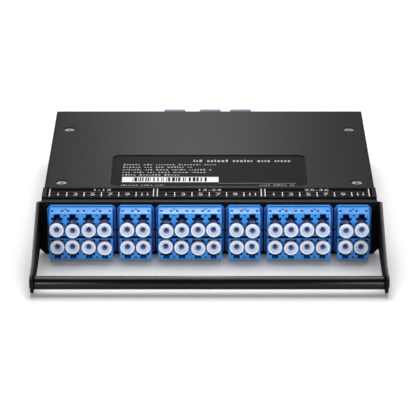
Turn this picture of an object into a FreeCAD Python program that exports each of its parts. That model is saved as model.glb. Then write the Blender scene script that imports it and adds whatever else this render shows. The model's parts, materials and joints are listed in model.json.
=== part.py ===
"""Fibre cassette: a folded sheet housing with twelve front adapters, three rear ones and a cable bar.

Millimetres, +Z up. The origin is the centre of the underside of the housing. X runs along the row
of front ports, which face -Y; the rear ports face +Y.
"""
import FreeCAD, Part
import math
import os
import re
import Sketcher

V = FreeCAD.Vector

# ---------------------------------------------------------------- driving dimensions
SIZES = {
    # housing; its width and height follow from the adapters inside it
    "housing_depth": 115.4,
    "side_room": 3.125,
    "head_room": 1.2,
    "sheet": 1.2,
    "bend_inside": 0.6,
    "fit_gap": 0.1,
    "corner_slit": 0.3,
    "edge_break": 0.25,
    # folded front panel and its arms
    "arm_stand_off": 2.38,
    "lip_overhang": 0.4,
    "lip_drop": 0.85,
    "lip_bend": 0.5,
    "ear_drop": 0.15,
    "panel_corner": 3.4,
    "arm_root_flat": 1.2,
    "arm_slope_run": 37.0,
    "arm_reach": 43.9,
    "arm_underside": 1.1,
    "arm_heel": 4.3,
    "arm_heel_run": 22.0,
    "disc_diameter": 8.8,
    "disc_rise": 0.8,
    # cable bar and its screws
    "bar_diameter": 5.1,
    "bar_screw_head": 5.4,
    "bar_screw_dome": 0.4,
    "bar_screw_shank": 2.5,
    "bar_screw_length": 7.0,
    "screw_play": 0.1,
    "socket_flats": 2.0,
    "socket_depth": 0.9,
    # top cover, its screws and what holds them
    "strip_depth": 11.6,
    "lip_band": 3.5,
    "screw_side_inset": 6.77,
    "screw_rear_inset": 25.4,
    "screw_head": 4.2,
    "screw_head_sink": 0.35,
    "screw_shank": 2.4,
    "screw_length": 3.6,
    "cross_width": 0.7,
    "cross_length": 2.4,
    "cross_depth": 0.6,
    "tab_length": 9.0,
    "tab_reach": 12.0,
    "tab_gap": 0.3,
    "nut_diameter": 5.2,
    "nut_height": 2.0,
    # label recess and labels
    "label_left": 40.1,
    "label_right": 39.8,
    "label_front_margin": 1.6,
    "label_length": 39.0,
    "recess_depth": 0.5,
    "recess_corner": 3.0,
    "label_thickness": 0.2,
    "label_margin": 0.4,
    # port number strip
    "rim_width": 0.7,
    "end_rim_width": 1.5,
    "strip_recess": 0.35,
    # front adapters
    "duplex_width": 12.7,
    "adapter_length": 26.0,
    "adapter_reach": 9.4,
    "row_gap": 0.5,
    "flange_thickness": 1.7,
    "flange_side": 1.07,
    "flange_clearance": 0.59,
    "flange_outer": 0.45,
    "flange_corner": 1.35,
    "adapter_corner": 0.35,
    "port_pitch": 6.25,
    "port_width": 4.7,
    "port_floor": 1.02,
    "port_neck_width": 3.3,
    "port_neck_rise": 0.9,
    "port_ear_width": 4.6,
    "port_ear_rise": 1.1,
    "latch_width": 2.5,
    "latch_rise": 1.5,
    "latch_roof": 0.28,
    "port_wall_front": 10.8,
    "port_wall": 4.4,
    "core_spacing": 5.15,
    "core_inner": 1.2,
    "core_width": 1.1,
    "core_length": 1.8,
    "core_depth": 0.8,
    "core_setback": 3.1,
    "core_mid_length": 1.0,
    "core_mid_setback": 5.2,
    "pin_hole": 0.9,
    "pin_hole_drop": 0.9,
    "pin_hole_depth": 3.0,
    "snap_depth": 0.7,
    "snap_length": 3.0,
    "snap_height": 4.0,
    # sleeves and the plugs behind the front adapters
    "sleeve_wall": 0.155,
    "ferrule": 1.25,
    "sleeve_length": 6.6,
    "sleeve_play": 0.1,
    "ferrule_play": 0.02,
    "plug_play": 0.12,
    "inner_plug_tail": 5.0,
    "boot_length": 7.0,
    "boot_diameter": 2.8,
    "fibre_diameter": 0.9,
    # dust plugs
    "cap_gap": 0.55,
    "cap_reach": 3.5,
    "cap_rim": 1.5,
    "cap_rim_width": 0.75,
    "cap_wall": 0.3,
    "cap_play": 0.2,
    "cap_stub_start": 3.2,
    "cap_stub_length": 4.6,
    "cap_cone_depth": 1.4,
    "cap_bore": 2.1,
    "cap_bore_depth": 7.5,
    "cap_seat_step": 0.15,
    "cap_nod": 1.2,
    "cap_swing": 0.6,
    # rear adapters, their plugs and dust caps
    "rear_centre": 0.5,
    "rear_pitch_left": 15.8,
    "rear_pitch_right": 13.5,
    "rear_port_wall": 1.35,
    "rear_port_end": 1.45,
    "rear_top_drop": 4.0,
    "rear_reach": 14.9,
    "rear_inside": 9.5,
    "rear_flange": 1.2,
    "rear_flange_side": 1.0,
    "rear_corner": 0.4,
    "rear_port_width": 6.6,
    "rear_port_height": 9.9,
    "rear_key_width": 3.0,
    "rear_key_depth": 0.9,
    "rear_wall_depth": 9.0,
    "rear_wall": 4.0,
    "rear_cap_wall": 1.0,
    "rear_cap_head": 2.6,
    "rear_cap_lip_side": 0.8,
    "rear_cap_lip_end": 0.35,
    "rear_cap_corner": 1.0,
    "rear_cap_stub": 7.0,
    "rear_plug_tail": 8.0,
    "rear_plug_play": 0.15,
    "rear_boot_length": 5.0,
    "rear_boot_diameter": 4.6,
    "rear_ferrule_width": 2.4,
    "rear_ferrule_height": 6.3,
    "rear_ferrule_play": 0.1,
    # fibre bundles and the blocks where they fan out
    "bundle_diameter": 2.4,
    "bundle_lead": 2.0,
    "block_width": 15.0,
    "block_length": 11.0,
    "block_height": 13.5,
    "block_rear": 1.0,
    "fan_pitch": 2.1,
    "fan_rise": 1.8,
    "fibre_gap": 0.3,
}

# ---------------------------------------------------------------- places worked out from them
QUAD = "(duplex_width * 2)"
ADAPTER_GAP = "(flange_side * 2 + flange_clearance)"
ROW_WIDTH = f"(duplex_width * 9 + {ADAPTER_GAP} * 5)"
COLUMN_STEP = f"(duplex_width * 3 + {ADAPTER_GAP} * 2)"
PORT_AXIS = "(port_floor + port_width / 2)"
PORT_SHOULDER = "(port_floor + port_width)"
PORT_NECK_TOP = f"({PORT_SHOULDER} + port_neck_rise)"
PORT_EAR_TOP = f"({PORT_NECK_TOP} + port_ear_rise)"
LATCH_TOP = f"({PORT_EAR_TOP} + latch_rise)"
ADAPTER_HEIGHT = f"({LATCH_TOP} + latch_roof)"
LOWER_BASE = "(sheet + fit_gap)"
UPPER_BASE = f"({LOWER_BASE} + {ADAPTER_HEIGHT} + row_gap)"
ADAPTER_TOP = f"({UPPER_BASE} + {ADAPTER_HEIGHT})"
HEIGHT = f"({ADAPTER_TOP} + head_room + sheet)"
SIDE = f"({ROW_WIDTH} / 2 + side_room)"
FRONT = "(-housing_depth / 2)"
PANEL_BACK = "(-housing_depth / 2 + sheet)"
REAR = "(housing_depth / 2)"
ADAPTER_FRONT = "(-housing_depth / 2 - adapter_reach)"
COVER_UNDERSIDE = f"({HEIGHT} - sheet)"
STRIP_FRONT = "(-housing_depth / 2 + lip_band)"
COVER_FRONT = "(-housing_depth / 2 + lip_band + strip_depth)"
LIP_SIDE = f"({SIDE} + lip_overhang)"
LIP_TOP = f"({HEIGHT} - lip_drop)"
EAR_TOP = f"({LIP_TOP} - ear_drop)"
ARM_OUT = f"({SIDE} + arm_stand_off)"
DISC_Y = "(-housing_depth / 2 - arm_reach)"
DISC_AXIS = "(disc_rise + disc_diameter / 2)"
LABEL_FRONT = f"({COVER_FRONT} + label_front_margin)"
LABEL_REAR = f"({LABEL_FRONT} + label_length)"
SCREW_SIDE = f"({SIDE} - screw_side_inset)"
SCREW_FRONT = f"({ADAPTER_FRONT} + adapter_length + tab_gap + tab_length / 2)"
SCREW_REAR = f"({REAR} - screw_rear_inset)"
SCREW_BORE = "(screw_shank + screw_play * 2)"
BAR_BORE = "(bar_screw_shank + screw_play * 2)"
SLEEVE_BORE = "(ferrule + ferrule_play * 2)"
SLEEVE_OUTER = f"({SLEEVE_BORE} + sleeve_wall * 2)"
CAP_DIAMETER = "(port_pitch - cap_gap)"
CAP_MOUTH = f"({CAP_DIAMETER} - cap_rim_width * 2)"
CAP_NECK = "(cap_bore + cap_wall * 2)"
CAP_STUB = "(port_width - cap_play * 2)"
REAR_WIDTH = "(rear_port_width + rear_port_wall * 2)"
REAR_HEIGHT = "(rear_port_height + rear_port_end * 2)"
REAR_AXIS = f"({HEIGHT} - rear_top_drop - {REAR_HEIGHT} / 2)"

COLUMNS = ("quad", "duplex", "quad", "duplex", "quad", "duplex")
ROWS = ("upper", "lower")
REAR_SIDES = ("left", "middle", "right")
FINE_SIDES = 12
COARSE_SIDES = 8
REAR_CENTRES = ("(rear_centre - rear_pitch_left)", "(rear_centre)", "(rear_centre + rear_pitch_right)")

doc = FreeCAD.newDocument("fibre_cassette")
sheet = doc.addObject("Spreadsheet::Sheet", "Dims")
for row, (alias, size) in enumerate(SIZES.items(), start=1):
    sheet.set(f"A{row}", alias)
    sheet.set(f"B{row}", str(size))
    sheet.setAlias(f"B{row}", alias)
doc.recompute()

nodes = []


# ---------------------------------------------------------------- helpers
def bound(text):
    """The expression with each dimension's name tied to its cell."""
    return re.sub(r"[a-z_]+", lambda word: tied(word.group()), text)


def tied(word):
    """A word of an expression: a cell of the sheet where it names a dimension."""
    return "Dims." + word if word in SIZES else word


def number(text):
    """The present value of an expression."""
    return float(sheet.evalExpression(bound(text)))


def new_body(label, many_solids=False):
    """An empty body; `many_solids` lets it hold separate solids."""
    body = doc.addObject("PartDesign::Body", label)
    body.Label = label
    body.AllowCompound = many_solids
    return body


def as_node(item):
    """Keep an object as one of the sub-parts that are written out."""
    nodes.append(item)
    return item


def origin_plane(body, name):
    """One of the body's own origin planes: XY, XZ or YZ."""
    return next(item for item in body.Origin.OriginFeatures if item.Role == f"{name}_Plane")


def new_sketch(body, name, plane, level):
    """An empty sketch across an origin plane, at `level` along the axis that the plane faces."""
    sketch = body.newObject("Sketcher::SketchObject", name)
    sketch.AttachmentSupport = [(origin_plane(body, plane), "")]
    sketch.MapMode = "FlatFace"
    sign = "-" if plane == "XZ" else ""
    sketch.setExpression("AttachmentOffset.Base.z", bound(f"{sign}({level})"))
    return sketch


def draw_outline(sketch, points):
    """A closed outline of straight lines whose corners are bound to the sheet."""
    first = sketch.GeometryCount
    places = [V(number(x), number(y), 0) for x, y in points]
    count = len(points)
    lines = [Part.LineSegment(places[i], places[(i + 1) % count]) for i in range(count)]
    sketch.addGeometry(lines)
    joins = [Sketcher.Constraint("Coincident", first + i, 2, first + (i + 1) % count, 1)
             for i in range(count)]
    sketch.addConstraint(joins)
    for i, (x, y) in enumerate(points):
        bind(sketch, "DistanceX", first + i, 1, x)
        bind(sketch, "DistanceY", first + i, 1, y)


def draw_circle(sketch, x, y, diameter):
    """A circle whose centre and diameter are bound to the sheet."""
    centre = V(number(x), number(y), 0)
    circle = sketch.addGeometry(Part.Circle(centre, V(0, 0, 1), number(diameter) / 2))
    bind(sketch, "DistanceX", circle, 3, x)
    bind(sketch, "DistanceY", circle, 3, y)
    index = sketch.addConstraint(Sketcher.Constraint("Diameter", circle, number(diameter)))
    sketch.setExpression(f"Constraints[{index}]", bound(diameter))


def bind(sketch, kind, item, point, text):
    """A distance from the sketch's origin to a point, bound to the sheet."""
    index = sketch.addConstraint(Sketcher.Constraint(kind, item, point, number(text)))
    sketch.setExpression(f"Constraints[{index}]", bound(text))


def profile(body, name, plane, level, outlines, circles):
    """A sketch of several outlines and circles."""
    sketch = new_sketch(body, name + "_sketch", plane, level)
    for points in outlines:
        draw_outline(sketch, points)
    for circle in circles:
        draw_circle(sketch, *circle)
    return sketch


def pad(body, name, plane, start, end, outlines=(), circles=()):
    """Material between two levels along the axis that the plane faces."""
    feature = body.newObject("PartDesign::Pad", name)
    feature.Profile = profile(body, name, plane, start, outlines, circles)
    feature.setExpression("Length", bound(f"({end}) - ({start})"))
    feature.Reversed = plane == "XZ"
    doc.recompute()
    return feature


def cut(body, name, plane, start, end, outlines=(), circles=()):
    """Material taken away between two levels along the axis that the plane faces."""
    before = body.Shape.Volume
    feature = body.newObject("PartDesign::Pocket", name)
    feature.Profile = profile(body, name, plane, start, outlines, circles)
    feature.setExpression("Length", bound(f"({end}) - ({start})"))
    feature.Reversed = plane != "XZ"
    doc.recompute()
    if not feature.Shape.Volume < before:
        raise RuntimeError(f"{body.Label}: {name} cuts nothing")
    return feature


def turned(body, name, plane, outline):
    """A solid turned about the plane's upright axis from an outline of (radius, height) corners."""
    sketch = new_sketch(body, name + "_sketch", plane, "0")
    draw_outline(sketch, outline)
    feature = body.newObject("PartDesign::Revolution", name)
    feature.Profile = sketch
    feature.ReferenceAxis = (sketch, ["V_Axis"])
    feature.Angle = 360
    doc.recompute()
    return feature


def near(value, text):
    """Whether a coordinate lies at an expression's value."""
    return abs(value - number(text)) < 1e-4


def edges_along(feature, axis, places):
    """The straight edges along an axis at any of the places, each two expressions across that axis."""
    across = [name for name in "xyz" if name != axis]
    names = []
    for index, edge in enumerate(feature.Shape.Edges, start=1):
        ends = [corner.Point for corner in edge.Vertexes]
        if len(ends) != 2:
            continue
        if any(all(near(getattr(end, name), text) for end in ends for name, text in zip(across, pair))
               for pair in places):
            names.append(f"Edge{index}")
    if not names:
        raise RuntimeError(f"{feature.Name}: no edge along {axis} at {places}")
    return names


def rounded(body, name, feature, edges, radius):
    """A fillet on the named edges."""
    fillet = body.newObject("PartDesign::Fillet", name)
    fillet.Base = (feature, edges)
    fillet.setExpression("Radius", bound(radius))
    doc.recompute()
    return fillet


def bevelled(body, name, feature, edges, size):
    """A chamfer on the named edges."""
    chamfer = body.newObject("PartDesign::Chamfer", name)
    chamfer.Base = (feature, edges)
    chamfer.setExpression("Size", bound(size))
    doc.recompute()
    return chamfer


def box_outline(left, right, low, high):
    """A rectangle between four expressions."""
    return [(left, low), (right, low), (right, high), (left, high)]


def flipped(points):
    """The same outline on the other side of the middle."""
    return [(f"-({x})", y) for x, y in reversed(points)]


def mirrored(right):
    """A closed outline from its right half."""
    return right + flipped(right)


def many_sided(x, y, diameter, sides):
    """A regular outline that stands in for a circle on what repeats many times."""
    turns = [360 * (step + 0.5) / sides for step in range(sides)]
    return [(f"{x} + {diameter} / 2 * cos({turn})", f"{y} + {diameter} / 2 * sin({turn})") for turn in turns]


def funnel(body, name, plane, start, end, wide, narrow):
    """A funnel cut between two outlines that have as many corners as each other."""
    feature = body.newObject("PartDesign::SubtractiveLoft", name)
    feature.Profile = profile(body, f"{name}_mouth", plane, start, [wide], ())
    feature.Sections = [profile(body, f"{name}_throat", plane, end, [narrow], ())]
    feature.Ruled = True
    doc.recompute()
    return feature


def place(item, x="0", y="0", z="0"):
    """Bind an object's position to the sheet."""
    for axis, text in (("x", x), ("y", y), ("z", z)):
        item.setExpression(f"Placement.Base.{axis}", bound(text))


def copy_of(shape_body, name, x="0", y="0", z="0"):
    """A linked copy of a body at a place bound to the sheet."""
    link = doc.addObject("App::Link", name)
    link.LinkedObject = shape_body
    place(link, x, y, z)
    return link


def group_node(label, members):
    """A sub-part made of linked copies."""
    group = doc.addObject("Part::Compound", label)
    group.Label = label
    group.Links = members
    doc.recompute()
    return as_node(group)


def screw_places():
    """The X and Y of the four cover screws."""
    return [(f"({side}{SCREW_SIDE})", y) for side in ("-", "") for y in (SCREW_FRONT, SCREW_REAR)]


def column_centre(index):
    """The X of a column of adapters, counted from the left."""
    width = QUAD if COLUMNS[index] == "quad" else "duplex_width"
    lead = "0" if COLUMNS[index] == "quad" else f"{QUAD} + {ADAPTER_GAP}"
    return f"(-{ROW_WIDTH} / 2 + {index // 2} * {COLUMN_STEP} + {lead} + {width} / 2)"


def port_offsets(kind):
    """Each port's X from the middle of its adapter."""
    pairs = ("-duplex_width / 2", "duplex_width / 2") if kind == "quad" else ("0",)
    return [f"({pair} {side} port_pitch / 2)" for pair in pairs for side in "-+"]


def port_axis(row):
    """The height of a row's ports; the lower row's adapters stand on their heads."""
    if row == "upper":
        return f"({UPPER_BASE} + {PORT_AXIS})"
    return f"({LOWER_BASE} + {ADAPTER_HEIGHT} - {PORT_AXIS})"


# ---------------------------------------------------------------- housing
def make_base_tray():
    """Floor, sides and rear wall folded from one sheet, with bent tabs under the cover screws."""
    body = new_body("base_tray")
    inner = f"({SIDE} - sheet)"
    block = pad(body, "envelope", "XY", "0", COVER_UNDERSIDE,
                [box_outline(f"-{SIDE}", SIDE, PANEL_BACK, REAR)])
    edges = edges_along(block, "y", [(f"-{SIDE}", "0"), (SIDE, "0")])
    edges += edges_along(block, "x", [(REAR, "0")])
    rounded(body, "outer_bends", block, edges, "bend_inside + sheet")
    cut(body, "hollow", "XY", "sheet", COVER_UNDERSIDE,
        [box_outline(f"-{inner}", inner, PANEL_BACK, f"{REAR} - sheet")])
    for name, left, right in (("left_slit", f"-{SIDE}", f"-{inner}"), ("right_slit", inner, SIDE)):
        cut(body, name, "XY", "bend_inside + sheet", COVER_UNDERSIDE,
            [box_outline(left, right, f"{REAR} - sheet - corner_slit", f"{REAR} - sheet")])
    cut(body, "lip_seat", "XY", f"{LIP_TOP} - sheet", COVER_UNDERSIDE,
        [box_outline(f"-{SIDE}", SIDE, PANEL_BACK, COVER_FRONT)])
    tabs = []
    for x, y in screw_places():
        left, right = (f"-{inner}", f"tab_reach - {SIDE}") if x[1] == "-" else (f"{SIDE} - tab_reach", inner)
        tabs.append(box_outline(left, right, f"{y} - tab_length / 2", f"{y} + tab_length / 2"))
    pad(body, "cover_tabs", "XY", f"{COVER_UNDERSIDE} - sheet", COVER_UNDERSIDE, tabs)
    cut(body, "tab_holes", "XY", f"{COVER_UNDERSIDE} - sheet", COVER_UNDERSIDE,
        circles=[(x, y, SCREW_BORE) for x, y in screw_places()])
    half = f"({REAR_WIDTH} / 2 + fit_gap)"
    tall = f"({REAR_HEIGHT} / 2 + fit_gap)"
    cut(body, "rear_windows", "XZ", f"{REAR} - sheet", REAR,
        [box_outline(f"{x} - {half}", f"{x} + {half}", f"{REAR_AXIS} - {tall}", f"{REAR_AXIS} + {tall}")
         for x in REAR_CENTRES])
    return as_node(body)


def make_top_cover():
    """Flat lid with a rounded label recess and four countersunk screw holes."""
    body = new_body("top_cover")
    plate = pad(body, "plate", "XY", COVER_UNDERSIDE, HEIGHT,
                [box_outline(f"-{SIDE}", SIDE, COVER_FRONT, REAR)])
    edges = edges_along(plate, "y", [(f"-{SIDE}", HEIGHT), (SIDE, HEIGHT)])
    edges += edges_along(plate, "x", [(REAR, HEIGHT)])
    bevelled(body, "edge_bevel", plate, edges, "edge_break")
    recess = cut(body, "label_recess", "XY", f"{HEIGHT} - recess_depth", HEIGHT,
                 [box_outline("-label_left", "label_right", LABEL_FRONT, LABEL_REAR)])
    corners = [(x, y) for x in ("-label_left", "label_right") for y in (LABEL_FRONT, LABEL_REAR)]
    rounded(body, "recess_corners", recess, edges_along(recess, "z", corners), "recess_corner")
    holes = body.newObject("PartDesign::Hole", "screw_holes")
    holes.Profile = profile(body, "screw_holes", "XY", HEIGHT, (),
                            [(x, y, SCREW_BORE) for x, y in screw_places()])
    doc.recompute()
    holes.DepthType = "ThroughAll"
    holes.HoleCutType = "Countersink"
    holes.HoleCutCustomValues = True
    holes.HoleCutCountersinkAngle = 90
    holes.setExpression("Diameter", bound(SCREW_BORE))
    holes.setExpression("HoleCutDiameter", bound("screw_head + (screw_head_sink + screw_play) * 2"))
    doc.recompute()
    return as_node(body)


def make_cover_screws():
    """Countersunk screws with a cross recess, and the clinch nuts under the tray's tabs."""
    screw = new_body("cover_screw_shape")
    head, shank = "screw_head / 2", "screw_shank / 2"
    turned(screw, "turned_form", "XZ",
           [("0", "-screw_length"), (shank, "-screw_length"), (shank, f"{shank} - {head}"),
            (head, "0"), ("0", "0")])
    cut(screw, "cross", "XY", "-cross_depth", "0", [cross_outline()])
    group_node("cover_screws", [copy_of(screw, f"cover_screw_{i}", x, y, f"{HEIGHT} - screw_head_sink")
                                for i, (x, y) in enumerate(screw_places(), start=1)])
    nut = new_body("cover_nut_shape")
    pad(nut, "barrel", "XY", "-nut_height", "0", circles=[("0", "0", "nut_diameter")])
    cut(nut, "bore", "XY", "-nut_height", "0", circles=[("0", "0", SCREW_BORE)])
    group_node("cover_nuts", [copy_of(nut, f"cover_nut_{i}", x, y, f"{COVER_UNDERSIDE} - sheet")
                              for i, (x, y) in enumerate(screw_places(), start=1)])


def cross_outline():
    """The twelve corners of a cross recess."""
    narrow, wide = "cross_width / 2", "cross_length / 2"
    quarter = [(narrow, wide), (narrow, narrow), (wide, narrow)]
    return mirrored(quarter + [(x, f"-({y})") for x, y in reversed(quarter)])


def make_front_panel():
    """Panel, top lip and two tapered arms folded from one sheet."""
    body = new_body("front_panel")
    inner = f"({ARM_OUT} - sheet)"
    right = [(ARM_OUT, "0"), (ARM_OUT, EAR_TOP), (LIP_SIDE, EAR_TOP), (LIP_SIDE, LIP_TOP)]
    pad(body, "panel", "XZ", FRONT, PANEL_BACK, [mirrored(right)])
    pad(body, "lip", "XY", f"{LIP_TOP} - sheet", LIP_TOP,
        [box_outline(f"-{LIP_SIDE}", LIP_SIDE, FRONT, f"{COVER_FRONT} - fit_gap")])
    root_y = f"({FRONT} - arm_root_flat)"
    slope_y = f"({root_y} - arm_slope_run)"
    heel_y = f"({FRONT} - arm_heel_run)"
    tip = "(disc_rise + disc_diameter)"
    arm = [(PANEL_BACK, EAR_TOP), (root_y, EAR_TOP), (slope_y, tip), (DISC_Y, tip), (DISC_Y, "arm_underside"),
           (f"{FRONT} - arm_heel", "arm_underside"), (root_y, "0"), (PANEL_BACK, "0")]
    arms = (("left", f"-{ARM_OUT}", f"-{inner}"), ("right", inner, ARM_OUT))
    for side, start, end in arms:
        pad(body, f"{side}_arm", "YZ", start, end, [arm])
        pad(body, f"{side}_disc", "YZ", start, end, circles=[(DISC_Y, DISC_AXIS, "disc_diameter")])
    windows = []
    for index, kind in enumerate(COLUMNS):
        half = f"({kind_width(kind)} / 2 + fit_gap)"
        windows.append(box_outline(f"{column_centre(index)} - {half}", f"{column_centre(index)} + {half}",
                                   f"{LOWER_BASE} - fit_gap", f"{ADAPTER_TOP} + fit_gap"))
    cut(body, "adapter_windows", "XZ", FRONT, PANEL_BACK, windows)
    last = cut(body, "bar_screw_holes", "YZ", f"-{ARM_OUT}", ARM_OUT, circles=[(DISC_Y, DISC_AXIS, BAR_BORE)])
    last = rounded(body, "side_bends", last,
                   edges_along(last, "z", [(f"-{ARM_OUT}", PANEL_BACK), (ARM_OUT, PANEL_BACK)]),
                   "bend_inside + sheet")
    rounded(body, "lip_fold", last, edges_along(last, "x", [(FRONT, LIP_TOP)]), "lip_bend")
    corner = [(f"{ARM_OUT} - panel_corner", "0"), (ARM_OUT, "0"), (ARM_OUT, "panel_corner")]
    cut(body, "lower_corners", "XZ", root_y, PANEL_BACK, [corner, flipped(corner)])
    heel = [(root_y, "0"), (heel_y, "0"), (heel_y, "arm_underside"), (root_y, "panel_corner - sheet")]
    for side, start, end in arms:
        cut(body, f"{side}_heel", "YZ", start, end, [heel])
    return as_node(body)


def make_cable_bar():
    """Round bar between the arms' discs, tapped at both ends."""
    body = new_body("cable_bar")
    end = f"({ARM_OUT} - sheet)"
    pad(body, "rod", "YZ", f"-{end}", end, circles=[(DISC_Y, DISC_AXIS, "bar_diameter")])
    for name, start, stop in (("left_bore", f"-{end}", f"bar_screw_length - {end}"),
                              ("right_bore", f"{end} - bar_screw_length", end)):
        cut(body, name, "YZ", start, stop,
            circles=[(DISC_Y, DISC_AXIS, BAR_BORE)])
    return as_node(body)


def make_bar_screws():
    """Domed socket screws that hold the bar from outside the discs."""
    screw = new_body("bar_screw_shape")
    head, shank = "bar_screw_head / 2", "bar_screw_shank / 2"
    turned(screw, "turned_form", "XY",
           [("0", "-bar_screw_length"), (shank, "-bar_screw_length"), (shank, "0"), (head, "0"),
            (head, "bar_screw_dome / 2"), (f"{head} - bar_screw_dome / 2", "bar_screw_dome"),
            ("0", "bar_screw_dome")])
    flats, point = "socket_flats / 2", "socket_flats / sqrt(3)"
    hexagon = [(point, "0"), (f"{point} / 2", flats), (f"-{point} / 2", flats), (f"-{point}", "0"),
               (f"-{point} / 2", f"-{flats}"), (f"{point} / 2", f"-{flats}")]
    cut(screw, "socket", "XZ", "bar_screw_dome - socket_depth", "bar_screw_dome", [hexagon])
    links = []
    for name, x, turn in (("left", f"-{ARM_OUT}", 90), ("right", ARM_OUT, -90)):
        link = copy_of(screw, f"bar_screw_{name}", x, DISC_Y, DISC_AXIS)
        link.Placement.Rotation = FreeCAD.Rotation(V(0, 0, 1), turn)
        links.append(link)
    group_node("bar_screws", links)


def make_labels():
    """The strip that carries the port numbers, its printed insert and the label on the cover."""
    strip = new_body("port_label_strip")
    back = f"({COVER_FRONT} - fit_gap)"
    plate = pad(strip, "plate", "XY", LIP_TOP, HEIGHT,
                [box_outline(f"-{LIP_SIDE}", LIP_SIDE, STRIP_FRONT, back)])
    bevelled(strip, "edge_bevel", plate, edges_along(plate, "x", [(STRIP_FRONT, HEIGHT)]), "edge_break")
    floor = f"({HEIGHT} - strip_recess)"
    seat_side = f"({LIP_SIDE} - end_rim_width)"
    cut(strip, "insert_seat", "XY", floor, HEIGHT,
        [box_outline(f"-{seat_side}", seat_side, f"{STRIP_FRONT} + rim_width", f"{back} - rim_width")])
    as_node(strip)
    insert = new_body("port_number_insert")
    card_side = f"({seat_side} - fit_gap)"
    pad(insert, "card", "XY", floor, f"{floor} + label_thickness",
        [box_outline(f"-{card_side}", card_side, f"{STRIP_FRONT} + rim_width + fit_gap",
                     f"{back} - rim_width - fit_gap")])
    as_node(insert)
    label = new_body("cover_label")
    low = f"({HEIGHT} - recess_depth)"
    sides = ("label_margin - label_left", "label_right - label_margin")
    ends = (f"{LABEL_FRONT} + label_margin", f"{LABEL_REAR} - label_margin")
    film = pad(label, "film", "XY", low, f"{low} + label_thickness", [box_outline(*sides, *ends)])
    corners = [(x, y) for x in sides for y in ends]
    rounded(label, "corners", film, edges_along(film, "z", corners), "recess_corner - label_margin")
    as_node(label)


# ---------------------------------------------------------------- front adapters
def kind_width(kind):
    """The width of an adapter of two or four ports."""
    return QUAD if kind == "quad" else "duplex_width"


def port_outline(x):
    """A port: a square mouth, a narrower neck, two ears and the latch slot above them."""
    right = [("port_width / 2", "port_floor"), ("port_width / 2", PORT_SHOULDER),
             ("port_neck_width / 2", PORT_SHOULDER), ("port_neck_width / 2", PORT_NECK_TOP),
             ("port_ear_width / 2", PORT_NECK_TOP), ("port_ear_width / 2", PORT_EAR_TOP),
             ("latch_width / 2", PORT_EAR_TOP), ("latch_width / 2", LATCH_TOP)]
    outline = [(f"{x} + {half}", z) for half, z in right]
    return outline + [(f"{x} - {half}", z) for half, z in reversed(right)]


def rear_port_outline(x):
    """The port on the inside of the housing: a square mouth with its latch slot."""
    right = [("port_width / 2", "port_floor"), ("port_width / 2", PORT_SHOULDER),
             ("latch_width / 2", PORT_SHOULDER), ("latch_width / 2", LATCH_TOP)]
    outline = [(f"{x} + {half}", z) for half, z in right]
    return outline + [(f"{x} - {half}", z) for half, z in reversed(right)]


def make_adapter_shape(kind):
    """A moulded adapter standing on its base, its front face at Y 0."""
    body = new_body(f"{kind}_adapter_shape")
    half = f"({kind_width(kind)} / 2)"
    offsets = port_offsets(kind)
    block = pad(body, "block", "XZ", "0", "adapter_length",
                [box_outline(f"-{half}", half, "0", ADAPTER_HEIGHT)])
    corners = [(x, z) for x in (f"-{half}", half) for z in ("0", ADAPTER_HEIGHT)]
    bevelled(body, "block_bevel", block, edges_along(block, "y", corners), "adapter_corner")
    wide, high = f"({half} + flange_side)", f"({ADAPTER_HEIGHT} + flange_outer)"
    pad(body, "flange", "XZ", "adapter_reach - flange_thickness", "adapter_reach",
        [mirrored([(wide, "0"), (wide, f"{high} - flange_corner"), (f"{wide} - flange_corner", high)])])
    snap_front = "(adapter_reach + sheet + fit_gap)"
    snap_low, snap_high = f"({ADAPTER_HEIGHT} - snap_height) / 2", f"({ADAPTER_HEIGHT} + snap_height) / 2"
    for name, sign in (("left_snap", "-"), ("right_snap", "")):
        pad(body, name, "XY", snap_low, snap_high,
            [[(f"{sign}{half}", snap_front), (f"{sign}({half} + snap_depth)", snap_front),
              (f"{sign}{half}", f"{snap_front} + snap_length")]])
    wall_back = "(port_wall_front + port_wall)"
    cut(body, "front_ports", "XZ", "0", "port_wall_front", [port_outline(x) for x in offsets])
    cut(body, "rear_ports", "XZ", wall_back, "adapter_length", [rear_port_outline(x) for x in offsets])
    bore = f"({SLEEVE_OUTER} + sleeve_play * 2)"
    cut(body, "sleeve_bores", "XZ", "port_wall_front", wall_back,
        [many_sided(x, PORT_AXIS, bore, COARSE_SIDES) for x in offsets])
    pairs = ("(-duplex_width / 2)", "(duplex_width / 2)") if kind == "quad" else ("0",)
    cores = []
    for pair in pairs:
        for offset in ("-core_spacing", "-core_inner", "core_inner", "core_spacing"):
            cores.append(core_outline(f"({pair} + {offset})", "core_setback", "core_length"))
        cores.append(core_outline(pair, "core_mid_setback", "core_mid_length"))
    cut(body, "core_pockets", "XY", f"{ADAPTER_HEIGHT} - core_depth", ADAPTER_HEIGHT, cores)
    pin_z = f"({ADAPTER_HEIGHT} - pin_hole_drop)"
    cut(body, "pin_holes", "XZ", "0", "pin_hole_depth",
        [box_outline(f"{pair} - pin_hole / 2", f"{pair} + pin_hole / 2", f"{pin_z} - pin_hole / 4",
                     f"{pin_z} + pin_hole / 4") for pair in pairs])
    return body


def core_outline(x, y, length):
    """A small rectangular pocket where the mould's core stood."""
    return box_outline(f"{x} - core_width / 2", f"{x} + core_width / 2",
                       f"{y} - {length} / 2", f"{y} + {length} / 2")


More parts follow.
